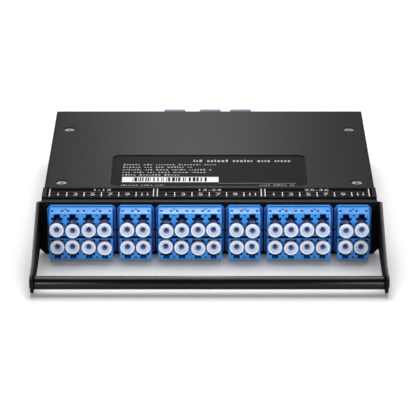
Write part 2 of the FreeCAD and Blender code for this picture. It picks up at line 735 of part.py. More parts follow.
def make_front_adapters():
    """Two rows of six adapters; those of the lower row stand on their heads."""
    shapes = {kind: make_adapter_shape(kind) for kind in ("quad", "duplex")}
    for row in ROWS:
        for index, kind in enumerate(COLUMNS):
            base = UPPER_BASE if row == "upper" else f"({LOWER_BASE} + {ADAPTER_HEIGHT})"
            name = f"{row}_{kind}_adapter_{index + 1}"
            link = copy_of(shapes[kind], f"{name}_link", column_centre(index), ADAPTER_FRONT, base)
            if row == "lower":
                link.Placement.Rotation = FreeCAD.Rotation(V(0, 1, 0), 180)
            group_node(name, [link])


def make_sleeves():
    """Ceramic alignment sleeves in the adapters' middle walls."""
    shape = new_body("sleeve_shape")
    pad(shape, "tube", "XZ", "-sleeve_length / 2", "sleeve_length / 2",
        [many_sided("0", "0", SLEEVE_OUTER, COARSE_SIDES)])
    cut(shape, "bore", "XZ", "-sleeve_length / 2", "sleeve_length / 2",
        [many_sided("0", "0", SLEEVE_BORE, COARSE_SIDES)])
    middle = f"{ADAPTER_FRONT} + port_wall_front + port_wall / 2"
    group_node("alignment_sleeves",
               [copy_of(shape, f"sleeve_{row}_{i}", x, middle, port_axis(row))
                for row in ROWS for i, x in enumerate(all_ports(), start=1)])


def all_ports():
    """The X of every port of a row, from the left."""
    return [f"({column_centre(index)} + {x})" for index, kind in enumerate(COLUMNS) for x in port_offsets(kind)]


def make_inner_plugs():
    """The fibre plugs behind the adapters: square housing, ferrule and tapered boot."""
    shape = new_body("inner_plug_shape")
    half = "(port_width / 2 - plug_play)"
    seat = "(sleeve_length / 2 + plug_play)"
    tail = "(adapter_length + inner_plug_tail - port_wall_front - port_wall / 2)"
    pad(shape, "housing", "XZ", seat, tail, [box_outline(f"-{half}", half, f"-{half}", half)])
    pad(shape, "ferrule_tip", "XZ", "ferrule_play", seat, [many_sided("0", "0", "ferrule", COARSE_SIDES)])
    pad(shape, "boot", "XZ", tail, f"{tail} + boot_length",
        [many_sided("0", "0", "boot_diameter", COARSE_SIDES)])
    middle = f"{ADAPTER_FRONT} + port_wall_front + port_wall / 2"
    for row in ROWS:
        group_node(f"{row}_inner_plugs",
                   [copy_of(shape, f"inner_plug_{row}_{i}", x, middle, port_axis(row))
                    for i, x in enumerate(all_ports(), start=1)])


def make_dust_plugs():
    """Dust plugs, one in each front port, each seated a little differently."""
    shape = new_body("dust_plug_shape")
    pivot = "(cap_stub_start + cap_stub_length / 2)"
    face, back = f"(-cap_reach - {pivot})", f"(cap_rim - cap_reach - {pivot})"
    stub = f"(cap_stub_start - {pivot})"
    pad(shape, "rim", "XZ", face, back, [many_sided("0", "0", CAP_DIAMETER, FINE_SIDES)])
    pad(shape, "neck", "XZ", back, stub, [many_sided("0", "0", CAP_NECK, FINE_SIDES)])
    pad(shape, "stub", "XZ", stub, f"{stub} + cap_stub_length", [many_sided("0", "0", CAP_STUB, FINE_SIDES)])
    bore = many_sided("0", "0", "cap_bore", FINE_SIDES)
    cut(shape, "bore", "XZ", face, f"{face} + cap_bore_depth", [bore])
    funnel(shape, "dish", "XZ", face, f"{face} + cap_cone_depth",
           many_sided("0", "0", CAP_MOUTH, FINE_SIDES), bore)
    port = 0
    for row in ROWS:
        for index, kind in enumerate(COLUMNS):
            links = []
            for x in port_offsets(kind):
                port += 1
                seat = f"{ADAPTER_FRONT} + {pivot} + {port * 3 % 5 - 2} * cap_seat_step"
                port_x = f"{column_centre(index)} + {x}"
                link = copy_of(shape, f"dust_plug_{port}", port_x, seat, port_axis(row))
                nod = FreeCAD.Rotation(V(1, 0, 0), (port * 2 % 5 - 2) * number("cap_nod"))
                swing = FreeCAD.Rotation(V(0, 0, 1), (port * 4 % 5 - 2) * number("cap_swing"))
                link.Placement.Rotation = nod.multiply(swing)
                links.append(link)
            group_node(f"{row}_dust_plugs_{index + 1}", links)


# ---------------------------------------------------------------- rear ports
def key_outline():
    """The rear port's mouth with its key slot on one side."""
    half, tall, key = "rear_port_width / 2", "rear_port_height / 2", "rear_key_width / 2"
    deep = f"{half} + rear_key_depth"
    return [(f"-{half}", f"-{tall}"), (half, f"-{tall}"), (half, f"-{key}"), (deep, f"-{key}"),
            (deep, key), (half, key), (half, tall), (f"-{half}", tall)]


def make_rear_adapters():
    """Multi-fibre adapters on edge in the rear wall, with their dust caps and inner plugs."""
    adapter = new_body("rear_adapter_shape")
    half, tall = f"({REAR_WIDTH} / 2)", f"({REAR_HEIGHT} / 2)"
    inside = "(-sheet - rear_inside)"
    block = pad(adapter, "block", "XZ", inside, "rear_reach", [box_outline(f"-{half}", half, f"-{tall}", tall)])
    corners = [(x, z) for x in (f"-{half}", half) for z in (f"-{tall}", tall)]
    bevelled(adapter, "block_corners", block, edges_along(block, "y", corners), "rear_corner")
    wide, high = f"({half} + rear_flange_side)", f"({tall} + rear_flange_side)"
    pad(adapter, "flange", "XZ", "0", "rear_flange", [box_outline(f"-{wide}", wide, f"-{high}", high)])
    wall_rear = "(rear_reach - rear_wall_depth)"
    wall_front = f"({wall_rear} - rear_wall)"
    cut(adapter, "outer_port", "XZ", wall_rear, "rear_reach", [key_outline()])
    cut(adapter, "inner_port", "XZ", inside, wall_front, [key_outline()])
    slot_x = "(rear_ferrule_width / 2 + rear_ferrule_play)"
    slot_z = "(rear_ferrule_height / 2 + rear_ferrule_play)"
    cut(adapter, "ferrule_window", "XZ", wall_front, wall_rear,
        [box_outline(f"-{slot_x}", slot_x, f"-{slot_z}", slot_z)])

    cap = new_body("rear_cap_shape")
    stub_x = "(rear_port_width / 2 - rear_plug_play)"
    stub_z = "(rear_port_height / 2 - rear_plug_play)"
    head_x = "(rear_port_width / 2 + rear_cap_lip_side)"
    head_z = "(rear_port_height / 2 + rear_cap_lip_end)"
    head = pad(cap, "head", "XZ", "rear_reach + fit_gap", "rear_reach + fit_gap + rear_cap_head",
               [box_outline(f"-{head_x}", head_x, f"-{head_z}", head_z)])
    corners = [(x, z) for x in (f"-{head_x}", head_x) for z in (f"-{head_z}", head_z)]
    rounded(cap, "head_corners", head, edges_along(head, "y", corners), "rear_cap_corner")
    pad(cap, "stub", "XZ", "rear_reach - rear_cap_stub", "rear_reach + fit_gap",
        [box_outline(f"-{stub_x}", stub_x, f"-{stub_z}", stub_z)])
    cut(cap, "stub_hollow", "XZ", "rear_reach - rear_cap_stub", "rear_reach",
        [box_outline(f"rear_cap_wall - {stub_x}", f"{stub_x} - rear_cap_wall",
                     f"rear_cap_wall - {stub_z}", f"{stub_z} - rear_cap_wall")])

    plug = new_body("rear_plug_shape")
    tail = f"({inside} - rear_plug_tail)"
    pad(plug, "housing", "XZ", tail, f"{wall_front} - rear_plug_play",
        [box_outline(f"-{stub_x}", stub_x, f"-{stub_z}", stub_z)])
    tip_x, tip_z = "(rear_ferrule_width / 2)", "(rear_ferrule_height / 2)"
    pad(plug, "ferrule", "XZ", f"{wall_front} - rear_plug_play", f"{wall_front} + rear_wall / 2",
        [box_outline(f"-{tip_x}", tip_x, f"-{tip_z}", tip_z)])
    pad(plug, "boot", "XZ", f"{tail} - rear_boot_length", tail, circles=[("0", "0", "rear_boot_diameter")])

    for side, x in zip(REAR_SIDES, REAR_CENTRES):
        for kind, shape in (("adapter", adapter), ("dust_cap", cap), ("inner_plug", plug)):
            name = f"rear_{kind}_{side}"
            group_node(name, [copy_of(shape, f"{name}_link", x, REAR, REAR_AXIS)])


# ---------------------------------------------------------------- fibres inside
def block_centre(index):
    """The X of a fan-out block, counted from the left."""
    return f"({index - 1} * {COLUMN_STEP})"


def make_fan_out_blocks():
    """Blocks on the tray's floor where each bundle parts into single fibres."""
    for index, side in enumerate(REAR_SIDES):
        body = new_body(f"fan_out_block_{side}")
        x = block_centre(index)
        block = pad(body, "block", "XY", "sheet", "sheet + block_height",
                    [box_outline(f"{x} - block_width / 2", f"{x} + block_width / 2",
                                 "block_rear - block_length", "block_rear")])
        ends = [(f"{x} {sign} block_width / 2", y)
                for sign in "-+" for y in ("block_rear - block_length", "block_rear")]
        rounded(body, "corners", block, edges_along(block, "z", ends), "bend_inside")
        as_node(body)


def round_wire(diameter, centre, along):
    """A many-sided ring across a direction."""
    corners = many_sided("0", "0", diameter, COARSE_SIDES)
    turn = FreeCAD.Rotation(V(0, 0, 1), along)
    points = [centre + turn.multVec(V(number(x), number(y), 0)) for x, y in corners]
    return Part.makePolygon(points + points[:1])


def make_bundles():
    """A round bundle from each rear plug to its block: two equal tangent arcs between short leads."""
    height = number(REAR_AXIS)
    lead = number("bundle_lead")
    start_y = number(f"{REAR} - sheet - rear_inside - rear_plug_tail - rear_boot_length")
    end_y = number("block_rear")
    for index, side in enumerate(REAR_SIDES):
        start_x, end_x = number(REAR_CENTRES[index]), number(block_centre(index))
        top, foot = V(start_x, start_y - lead, height), V(end_x, end_y + lead, height)
        across, along = foot.x - top.x, foot.y - top.y
        radius = (across ** 2 + along ** 2) / (4 * abs(across))
        half_turn = math.degrees(V(0, along, 0).getAngle(V(across, along, 0)))
        side_way = math.copysign(1, across)
        bend = V(radius * side_way, 0, 0)
        rotate = FreeCAD.Rotation(V(0, 0, 1), half_turn * side_way)
        first = top + bend + rotate.multVec(-bend)
        middle = (top + foot) / 2
        second = top + foot - first
        edges = [Part.LineSegment(V(start_x, start_y, height), top).toShape(),
                 Part.Arc(top, first, middle).toShape(), Part.Arc(middle, second, foot).toShape(),
                 Part.LineSegment(foot, V(end_x, end_y, height)).toShape()]
        wire = Part.Wire(edges)
        ring = round_wire("bundle_diameter", V(start_x, start_y, height), V(0, -1, 0))
        bundle = doc.addObject("Part::Feature", f"fibre_bundle_{side}")
        bundle.Label = f"fibre_bundle_{side}"
        bundle.Shape = wire.makePipeShell([ring], True, True)
        bundle.Placement = FreeCAD.Placement()
        print(f"fibre_bundle_{side}: length {wire.Length:.1f} mm, radius {radius:.1f} mm")
        as_node(bundle)


def make_fans():
    """Single fibres from each block's front face to the boots of its twelve plugs."""
    gap = number("fibre_gap")
    boots = number(f"{ADAPTER_FRONT} + adapter_length + inner_plug_tail + boot_length")
    face = number("block_rear - block_length")
    middle = (number(port_axis("upper")) + number(port_axis("lower"))) / 2
    ports = [number(x) for x in all_ports()]
    share = len(ports) // len(REAR_SIDES)
    for index, side in enumerate(REAR_SIDES):
        fibres = []
        for row in ROWS:
            rise = number("fan_rise") * (1 if row == "upper" else -1)
            for place_index, port in enumerate(ports[index * share:(index + 1) * share]):
                offset = (place_index - (share - 1) / 2) * number("fan_pitch")
                start = V(number(block_centre(index)) + offset, face, middle + rise)
                run = V(port, boots, number(port_axis(row))) - start
                step = V(run).normalize() * gap
                section = Part.Face(round_wire("fibre_diameter", start + step, run))
                fibres.append(section.extrude(run - step * 2))
        fan = doc.addObject("Part::Feature", f"fibre_fan_{side}")
        fan.Label = f"fibre_fan_{side}"
        fan.Shape = Part.makeCompound(fibres)
        fan.Placement = FreeCAD.Placement()
        as_node(fan)


# ---------------------------------------------------------------- build and write
def write_parts():
    """Check every object and every sub-part, then write one STEP file for each sub-part."""
    doc.recompute()
    failed = [item.Name for item in doc.Objects if {"Invalid", "Error"} & set(item.State)]
    if failed:
        raise RuntimeError("failed: " + ", ".join(failed))
    for item in nodes:
        if item.Shape.isNull() or not item.Shape.isValid():
            raise RuntimeError(f"{item.Label}: bad shape")
    os.makedirs("parts", exist_ok=True)
    for item in nodes:
        item.Shape.exportStep(f"parts/{item.Label}.step")
    print(len(nodes), "parts")


make_base_tray()
make_top_cover()
make_cover_screws()
make_front_panel()
make_cable_bar()
make_bar_screws()
make_labels()
make_front_adapters()
make_sleeves()
make_inner_plugs()
make_dust_plugs()
make_rear_adapters()
make_fan_out_blocks()
make_bundles()
make_fans()
write_parts()
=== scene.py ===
"""Looks of the fibre cassette: finishes for every CAD piece, printed marks, studio and camera."""

import json
import logging
import math
import random
from dataclasses import dataclass, field, replace
from enum import Enum
from typing import Callable, Iterable

import bmesh
import bpy
from mathutils import Matrix, Vector

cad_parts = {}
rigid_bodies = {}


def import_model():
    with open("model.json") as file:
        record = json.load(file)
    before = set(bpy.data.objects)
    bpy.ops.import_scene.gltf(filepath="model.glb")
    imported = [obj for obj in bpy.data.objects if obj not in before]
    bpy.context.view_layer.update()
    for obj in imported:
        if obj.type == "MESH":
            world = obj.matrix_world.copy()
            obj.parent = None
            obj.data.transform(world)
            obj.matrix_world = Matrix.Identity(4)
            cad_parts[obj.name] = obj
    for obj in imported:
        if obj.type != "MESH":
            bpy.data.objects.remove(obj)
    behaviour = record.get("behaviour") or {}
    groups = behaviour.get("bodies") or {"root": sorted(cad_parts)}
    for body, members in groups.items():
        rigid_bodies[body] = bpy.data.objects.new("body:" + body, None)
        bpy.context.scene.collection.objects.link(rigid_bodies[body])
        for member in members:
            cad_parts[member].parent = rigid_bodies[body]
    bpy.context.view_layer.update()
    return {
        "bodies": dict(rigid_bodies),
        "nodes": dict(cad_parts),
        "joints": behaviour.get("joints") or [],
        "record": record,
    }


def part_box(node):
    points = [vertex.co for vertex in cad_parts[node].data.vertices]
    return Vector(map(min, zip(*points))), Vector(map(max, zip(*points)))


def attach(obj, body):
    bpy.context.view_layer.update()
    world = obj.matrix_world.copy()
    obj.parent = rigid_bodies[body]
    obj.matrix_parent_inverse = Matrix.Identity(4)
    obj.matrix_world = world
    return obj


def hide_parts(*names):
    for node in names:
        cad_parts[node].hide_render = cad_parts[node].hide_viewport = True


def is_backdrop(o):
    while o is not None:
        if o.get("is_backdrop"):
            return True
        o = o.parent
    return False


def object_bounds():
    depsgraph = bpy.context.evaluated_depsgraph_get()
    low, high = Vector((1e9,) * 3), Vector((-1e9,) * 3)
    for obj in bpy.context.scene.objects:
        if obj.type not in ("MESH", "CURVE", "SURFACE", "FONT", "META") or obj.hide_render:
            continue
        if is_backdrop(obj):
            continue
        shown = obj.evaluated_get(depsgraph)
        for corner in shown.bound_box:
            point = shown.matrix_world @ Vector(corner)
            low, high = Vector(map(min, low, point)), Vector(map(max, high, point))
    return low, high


LOG = logging.getLogger("fibre_cassette")
MM = 0.001
ROOT = "root"

Colour = tuple[float, float, float, float]
Socket = bpy.types.NodeSocket
Node = bpy.types.Node
Tree = bpy.types.NodeTree
Mesh = bmesh.types.BMesh


def grey(value: float, tint: tuple[float, float, float] = (1.0, 1.0, 1.0)) -> Colour:
    """A linear grey, slightly tinted."""
    return (value * tint[0], value * tint[1], value * tint[2], 1.0)


# ---- meshes
def absorb(target: Mesh, layer: Mesh) -> None:
    """Move every face of one mesh into another.

    Args:
        target: The mesh that takes the faces.
        layer: The mesh that gives them and is used up.
    """
    scratch = bpy.data.meshes.new("scratch")
    layer.to_mesh(scratch)
    layer.free()
    target.from_mesh(scratch)
    bpy.data.meshes.remove(scratch)


def add_box(mesh: Mesh, centre: Vector, size: tuple[float, float, float]) -> None:
    """Add a box to a mesh, given its middle and its size."""
    bmesh.ops.create_cube(mesh, size=1.0, matrix=Matrix.Translation(centre) @ Matrix.Diagonal((*size, 1.0)))


def make_piece(name: str, mesh: Mesh, materials: Iterable[bpy.types.Material],
               replaced: str = "") -> None:
    """Turn a mesh into a piece that rides on the housing.

    Args:
        name: The piece's name.
        mesh: Its mesh, which is used up.
        materials: Its materials, in the order of the faces' indices.
        replaced: The CAD node that it stands for, if any.
    """
    data = bpy.data.meshes.new(name)
    mesh.to_mesh(data)
    mesh.free()
    for material in materials:
        data.materials.append(material)
    piece = bpy.data.objects.new(name, data)
    bpy.context.scene.collection.objects.link(piece)
    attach(piece, ROOT)
    if replaced:
        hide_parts(replaced)
    LOG.info("made %s, %d faces", name, len(data.polygons))


# ---- shader node groups
class GroupName(Enum):
    """The shared shader effects."""

    GRAIN = "fine_grain"
    MOTTLE = "slow_mottle"
    EDGES = "painted_edge_highlight"
    DUST = "settled_dust"
    SCRATCH = "hairline_scratches"
    CAVITY = "painted_cavity_shade"
    FLANK = "flank_mask"
    RIM = "painted_arm_top_highlight"


@dataclass
class NodeBuilder:
    """Adds and links nodes in one tree."""

    tree: Tree

    def add(self, kind: str, **settings: object) -> Node:
        """Add a node and set its plain properties.

        Args:
            kind: The node's type name without the ShaderNode prefix.
            **settings: Properties to set on the node.

        Returns:
            The new node.
        """
        prefix = "" if kind.startswith("NodeGroup") else "ShaderNode"
        node = self.tree.nodes.new(prefix + kind)
        for name, value in settings.items():
            setattr(node, name, value)
        return node

    def join(self, source: Socket, target: Socket) -> None:
        """Link two sockets."""
        self.tree.links.new(source, target)

    def math(self, operation: str, first: object, second: object = 0.0, clamp: bool = False) -> Socket:
        """Add a Math node.

        Args:
            operation: Blender's name of the operation.
            first: A socket or a number.
            second: A socket or a number.
            clamp: Whether the result is kept between 0 and 1.

        Returns:
            The result socket.
        """
        node = self.add("Math", operation=operation, use_clamp=clamp)
        for index, value in enumerate((first, second)):
            self.feed(value, node.inputs[index])
        return node.outputs[0]

    def feed(self, value: object, target: Socket) -> None:
        """Link a socket or set a plain value.

        Args:
            value: A socket or a plain value.
            target: The input that gets it.
        """
        if isinstance(value, Socket):
            self.join(value, target)
        else:
            target.default_value = value

    def noise(self, scale: object, detail: float, vector: Socket, roughness: float) -> Socket:
        """Add a noise texture.

        Args:
            scale: A socket or a number, in waves per metre.
            detail: The number of octaves.
            vector: The coordinates.
            roughness: How strong the finer octaves are.

        Returns:
            The noise value, about 0 to 1.
        """
        node = self.add("TexNoise", noise_dimensions="3D")
        self.join(vector, node.inputs["Vector"])
        self.feed(scale, node.inputs["Scale"])
        node.inputs["Detail"].default_value = detail
        node.inputs["Roughness"].default_value = roughness
        return node.outputs["Fac"]

    def spread(self, value: Socket, low: object, high: object) -> Socket:
        """Map a range of a value to 0 to 1, clamped.

        Args:
            value: The value to map.
            low: What becomes 0.
            high: What becomes 1.

        Returns:
            The mapped value.
        """
        node = self.add("MapRange", clamp=True)
        for index, item in enumerate((value, low, high)):
            self.feed(item, node.inputs[index])
        return node.outputs[0]

    def mix(self, factor: object, first: object, second: object) -> Socket:
        """Mix two colours.

        Args:
            factor: A socket or a number, 0 for the first colour.
            first: A socket or a colour.
            second: A socket or a colour.

        Returns:
            The mixed colour.
        """
        node = self.add("Mix", data_type="RGBA", clamp_factor=True)
        self.feed(factor, node.inputs[0])
        self.feed(first, node.inputs[6])
        self.feed(second, node.inputs[7])
        return node.outputs[2]

    def place(self) -> Socket:
        """Where a point lies on the object."""
        return self.add("TexCoord").outputs["Object"]

    def facing(self) -> Node:
        """The X, Y and Z of the way that a surface looks.

        Returns:
            A node with those three outputs.
        """
        parts = self.add("SeparateXYZ")
        self.join(self.add("NewGeometry").outputs["Normal"], parts.inputs[0])
        return parts


class EffectLibrary:
    """Builds each shared node group once."""

    def __init__(self) -> None:
        """Start with no group built."""
        self.groups: dict[GroupName, Tree] = {}

    def get(self, name: GroupName) -> Tree:
        """The group of that name, built on first use.

        Args:
            name: Which effect.

        Returns:
            The group's tree.
        """
        if name not in self.groups:
            makers: dict[GroupName, Callable[[], Tree]] = {
                GroupName.GRAIN: self._grain,
                GroupName.MOTTLE: self._mottle,
                GroupName.EDGES: self._edges,
                GroupName.DUST: self._dust,
                GroupName.SCRATCH: self._scratch,
                GroupName.CAVITY: self._cavity,
                GroupName.FLANK: self._flank,
                GroupName.RIM: self._rim,
            }
            self.groups[name] = makers[name]()
        return self.groups[name]

    def _start(self, name: GroupName, inputs: dict[str, float], outputs: Iterable[str] = ("Mask",)
               ) -> tuple[NodeBuilder, Node, Node]:
        """Open a group with number sockets.

        Args:
            name: The group's name.
            inputs: Input names with their default values.
            outputs: Output names.

        Returns:
            The builder, the group's input node and its output node.
        """
        tree = bpy.data.node_groups.new(name.value, "ShaderNodeTree")
        for label, value in inputs.items():
            socket = tree.interface.new_socket(name=label, in_out="INPUT", socket_type="NodeSocketFloat")
            socket.default_value = value
        for label in outputs:
            tree.interface.new_socket(name=label, in_out="OUTPUT", socket_type="NodeSocketFloat")
        build = NodeBuilder(tree)
        return build, build.add("NodeGroupInput"), build.add("NodeGroupOutput")

    def _mask(self, build: NodeBuilder, value: Socket, source: Node, target: Node) -> Tree:
        """Close a group whose mask is this value times its amount.

        Args:
            build: The group's builder.
            value: The mask before its amount.
            source: The group's input node.
            target: The group's output node.

        Returns:
            The group's tree.
        """
        build.join(build.math("MULTIPLY", value, source.outputs["Amount"], clamp=True), target.inputs["Mask"])
        return build.tree

    def _grain(self) -> Tree:
        """Fine orange-peel grain of a moulded or coated surface.

        Returns:
            The group's tree.
        """
        build, source, target = self._start(GroupName.GRAIN, {"Scale": 2500.0, "Amount": 1.0}, ("Height", "Value"))
        place = build.place()
        coarse = build.noise(source.outputs["Scale"], 3.0, place, 0.55)
        finer = build.noise(build.math("MULTIPLY", source.outputs["Scale"], 2.7), 2.0, place, 0.6)
        both = build.math("ADD", build.math("MULTIPLY", coarse, 0.65), build.math("MULTIPLY", finer, 0.35))
        build.join(build.math("MULTIPLY", both, source.outputs["Amount"]), target.inputs["Height"])
        build.join(build.spread(both, 0.3, 0.7), target.inputs["Value"])
        return build.tree

    def _mottle(self) -> Tree:
        """Slow cloudy variation across a surface.

        Returns:
            The group's tree.
        """
        build, source, target = self._start(GroupName.MOTTLE, {"Scale": 60.0, "Contrast": 1.0}, ("Value",))
        cloud = build.noise(source.outputs["Scale"], 4.0, build.place(), 0.5)
        centred = build.math("SUBTRACT", build.spread(cloud, 0.25, 0.75), 0.5)
        build.join(build.math("MULTIPLY", centred, source.outputs["Contrast"]), target.inputs["Value"])
        return build.tree

    def _edges(self) -> Tree:
        """Mask of a painted highlight along outer edges, broken up by noise.

        Returns:
            The group's tree.
        """
        build, source, target = self._start(GroupName.EDGES, {"Radius": 0.0004, "Scale": 900.0, "Amount": 1.0})
        bevel = build.add("Bevel", samples=4)
        build.join(source.outputs["Radius"], bevel.inputs["Radius"])
        geometry = build.add("NewGeometry")
        dot = build.add("VectorMath", operation="DOT_PRODUCT")
        build.join(bevel.outputs["Normal"], dot.inputs[0])
        build.join(geometry.outputs["Normal"], dot.inputs[1])
        bend = build.spread(dot.outputs["Value"], 0.995, 0.80)
        broken = build.spread(build.noise(source.outputs["Scale"], 4.0, build.place(), 0.6), 0.42, 0.62)
        return self._mask(build, build.math("MULTIPLY", bend, broken), source, target)

    def _dust(self) -> Tree:
        """Thin dust on faces that look up.

        Returns:
            The group's tree.
        """
        build, source, target = self._start(GroupName.DUST, {"Scale": 700.0, "Amount": 0.1})
        upward = build.spread(build.facing().outputs["Z"], 0.4, 1.0)
        specks = build.spread(build.noise(source.outputs["Scale"], 5.0, build.place(), 0.7), 0.45, 0.75)
        return self._mask(build, build.math("MULTIPLY", upward, specks), source, target)

    def _scratch(self) -> Tree:
        """Faint hairlines that run mostly one way.

        Returns:
            The group's tree.
        """
        build, source, target = self._start(GroupName.SCRATCH, {"Scale": 40.0, "Amount": 0.3})
        turn = build.add("Mapping")
        turn.inputs["Rotation"].default_value = (0.0, 0.0, 0.35)
        turn.inputs["Scale"].default_value = (1.0, 34.0, 1.0)
        build.join(build.place(), turn.inputs["Vector"])
        lines = build.noise(source.outputs["Scale"], 2.0, turn.outputs["Vector"], 0.5)
        return self._mask(build, build.spread(lines, 0.68, 0.74), source, target)

    def _flank(self) -> Tree:
        """Mask of faces that look sideways, which get a rougher coat.

        Returns:
            The group's tree.
        """
        build, source, target = self._start(GroupName.FLANK, {"Amount": 1.0})
        aside = build.spread(build.math("ABSOLUTE", build.facing().outputs["X"]), 0.6, 0.9)
        return self._mask(build, aside, source, target)

    def _rim(self) -> Tree:
        """Mask of a painted highlight on faces that look up beyond a set distance from the middle: the arms' top
        edges.

        Returns:
            The group's tree.
        """
        build, source, target = self._start(GroupName.RIM, {"Side": 0.066, "Amount": 1.0})
        place = build.add("SeparateXYZ")
        build.join(build.place(), place.inputs[0])
        upward = build.spread(build.facing().outputs["Z"], 0.45, 0.8)
        outside = build.math("GREATER_THAN", build.math("ABSOLUTE", place.outputs["X"]), source.outputs["Side"])
        return self._mask(build, build.math("MULTIPLY", upward, outside), source, target)

    def _cavity(self) -> Tree:
        """Mask of painted shade in pockets, seams and slots, where little light gets in: ambient occlusion darkens
        the colour there.

        Returns:
            The group's tree.
        """
        build, source, target = self._start(GroupName.CAVITY, {"Reach": 0.0012, "Amount": 1.0, "Depth": 0.6})
        # Painted shade: ambient occlusion darkens the colour in hollows.
        shade_ao = build.add("AmbientOcclusion", samples=8)
        build.join(source.outputs["Reach"], shade_ao.inputs["Distance"])
        hidden = build.math("SUBTRACT", 1.0, shade_ao.outputs["AO"])
        return self._mask(build, build.spread(hidden, 0.25, source.outputs["Depth"]), source, target)


# ---- finishes
@dataclass(frozen=True)
class Finish:
    """A surface finish: one Principled shader driven by the shared effects.

    Lengths are in metres and scales in waves per metre.
    """

    name: str
    colour: Colour
    second_colour: Colour
    roughness: float = 0.5
    roughness_swing: float = 0.08
    specular: float = 0.5
    metallic: float = 0.0
    grain_scale: float = 2500.0
    grain_depth: float = 0.00002
    mottle_scale: float = 60.0
    mottle_contrast: float = 0.5
    edge_radius: float = 0.0003
    # The edge and arm-top colours below are painted highlights and the cavity colour is painted shade.
    edge_colour: Colour = (0.3, 0.3, 0.3, 1.0)
    edge_amount: float = 0.0
    dust_amount: float = 0.0
    dust_colour: Colour = (0.45, 0.43, 0.40, 1.0)
    scratch_amount: float = 0.0
    flank_roughness: float = 0.0
    rim_side: float = 0.0
    rim_colour: Colour = (0.1, 0.1, 0.1, 1.0)
    cavity_amount: float = 0.0
    cavity_reach: float = 0.0012
    cavity_depth: float = 0.6
    cavity_colour: Colour = (0.002, 0.002, 0.002, 1.0)
    soft_edge: float = 0.00015
    subsurface: float = 0.0
    subsurface_radius: tuple[float, float, float] = (0.6, 0.6, 0.8)
    subsurface_scale: float = 0.0015
    transmission: float = 0.0
    coat: float = 0.0
    coat_roughness: float = 0.2
    ior: float = 1.5

    def build(self, effects: EffectLibrary) -> bpy.types.Material:
        """Make the material.

        Args:
            effects: The shared node groups.

        Returns:
            The finished material.
        """
        material = bpy.data.materials.new(self.name)
        material.use_nodes = True
        material.node_tree.nodes.clear()
        build = NodeBuilder(material.node_tree)
        shader = build.add("BsdfPrincipled")
        output = build.add("OutputMaterial")
        build.join(shader.outputs[0], output.inputs["Surface"])
        self._constants(shader)
        grain = self._effect(build, effects, GroupName.GRAIN, Scale=self.grain_scale, Amount=1.0)
        mottle = self._effect(build, effects, GroupName.MOTTLE, Scale=self.mottle_scale,
                              Contrast=self.mottle_contrast)
        blend = build.math("ADD", build.math("MULTIPLY", grain.outputs["Value"], 0.5),
                           build.math("ADD", mottle.outputs["Value"], 0.25), clamp=True)
        colour = build.mix(blend, self.colour, self.second_colour)
        roughness = build.math("ADD", self.roughness,
                               build.math("MULTIPLY", mottle.outputs["Value"], self.roughness_swing * 2.0))
        if self.scratch_amount > 0.0:
            scratch = self._effect(build, effects, GroupName.SCRATCH, Amount=self.scratch_amount)
            roughness = build.math("ADD", roughness, build.math("MULTIPLY", scratch.outputs["Mask"], 0.2))
            colour = build.mix(build.math("MULTIPLY", scratch.outputs["Mask"], 0.35), colour, self.edge_colour)
        if self.flank_roughness > 0.0:
            flank = self._effect(build, effects, GroupName.FLANK, Amount=self.flank_roughness)
            roughness = build.math("ADD", roughness, flank.outputs["Mask"])
        # Painted highlights on edges and on the arms' tops, and painted shade in cavities, are mixed into the
        # colour here.
        for strength, name, tint, values in (
            (self.rim_side, GroupName.RIM, self.rim_colour, {"Side": self.rim_side}),
            (self.edge_amount, GroupName.EDGES, self.edge_colour,
             {"Radius": self.edge_radius, "Amount": self.edge_amount}),
            (self.cavity_amount, GroupName.CAVITY, self.cavity_colour,
             {"Reach": self.cavity_reach, "Depth": self.cavity_depth, "Amount": self.cavity_amount}),
        ):
            if strength > 0.0:
                colour = build.mix(self._effect(build, effects, name, **values).outputs["Mask"], colour, tint)
        if self.dust_amount > 0.0:
            dust = self._effect(build, effects, GroupName.DUST, Amount=self.dust_amount)
            colour = build.mix(dust.outputs["Mask"], colour, self.dust_colour)
            roughness = build.math("ADD", roughness, build.math("MULTIPLY", dust.outputs["Mask"], 0.3))
        build.join(colour, shader.inputs["Base Color"])
        build.join(build.math("MINIMUM", roughness, 1.0), shader.inputs["Roughness"])
        self._normal(build, grain, shader)
        return material

    def _constants(self, shader: Node) -> None:
        """Set what is the same all over the surface on the shader's own sockets.

        Args:
            shader: The Principled node.
        """
        constants = {
            "Metallic": self.metallic,
            "IOR": self.ior,
            "Specular IOR Level": self.specular,
            "Subsurface Weight": self.subsurface,
            "Subsurface Radius": self.subsurface_radius,
            "Subsurface Scale": self.subsurface_scale,
            "Transmission Weight": self.transmission,
            "Coat Weight": self.coat,
            "Coat Roughness": self.coat_roughness,
        }
        for label, value in constants.items():
            shader.inputs[label].default_value = value

    def _effect(self, build: NodeBuilder, effects: EffectLibrary, name: GroupName, **values: float) -> Node:
        """Place a shared group with this finish's own values.

        Args:
            build: The builder of the material's tree.
            effects: The shared node groups.
            name: Which effect.
            **values: Input names with their values.

        Returns:
            The placed group.
        """
        node = build.add("Group", node_tree=effects.get(name))
        for label, value in values.items():
            node.inputs[label].default_value = value
        return node

    def _normal(self, build: NodeBuilder, grain: Node, shader: Node) -> None:
        """Round the edges a little and lay the grain over them.

        Args:
            build: The builder of the material's tree.
            grain: The placed grain group.
            shader: The Principled node.
        """
        bump = build.add("Bump")
        bump.inputs["Distance"].default_value = self.grain_depth
        bump.inputs["Strength"].default_value = 0.8
        build.join(grain.outputs["Height"], bump.inputs["Height"])
        if self.soft_edge > 0.0:
            bevel = build.add("Bevel", samples=6)
            bevel.inputs["Radius"].default_value = self.soft_edge
            build.join(bevel.outputs["Normal"], bump.inputs["Normal"])
        build.join(bump.outputs["Normal"], shader.inputs["Normal"])
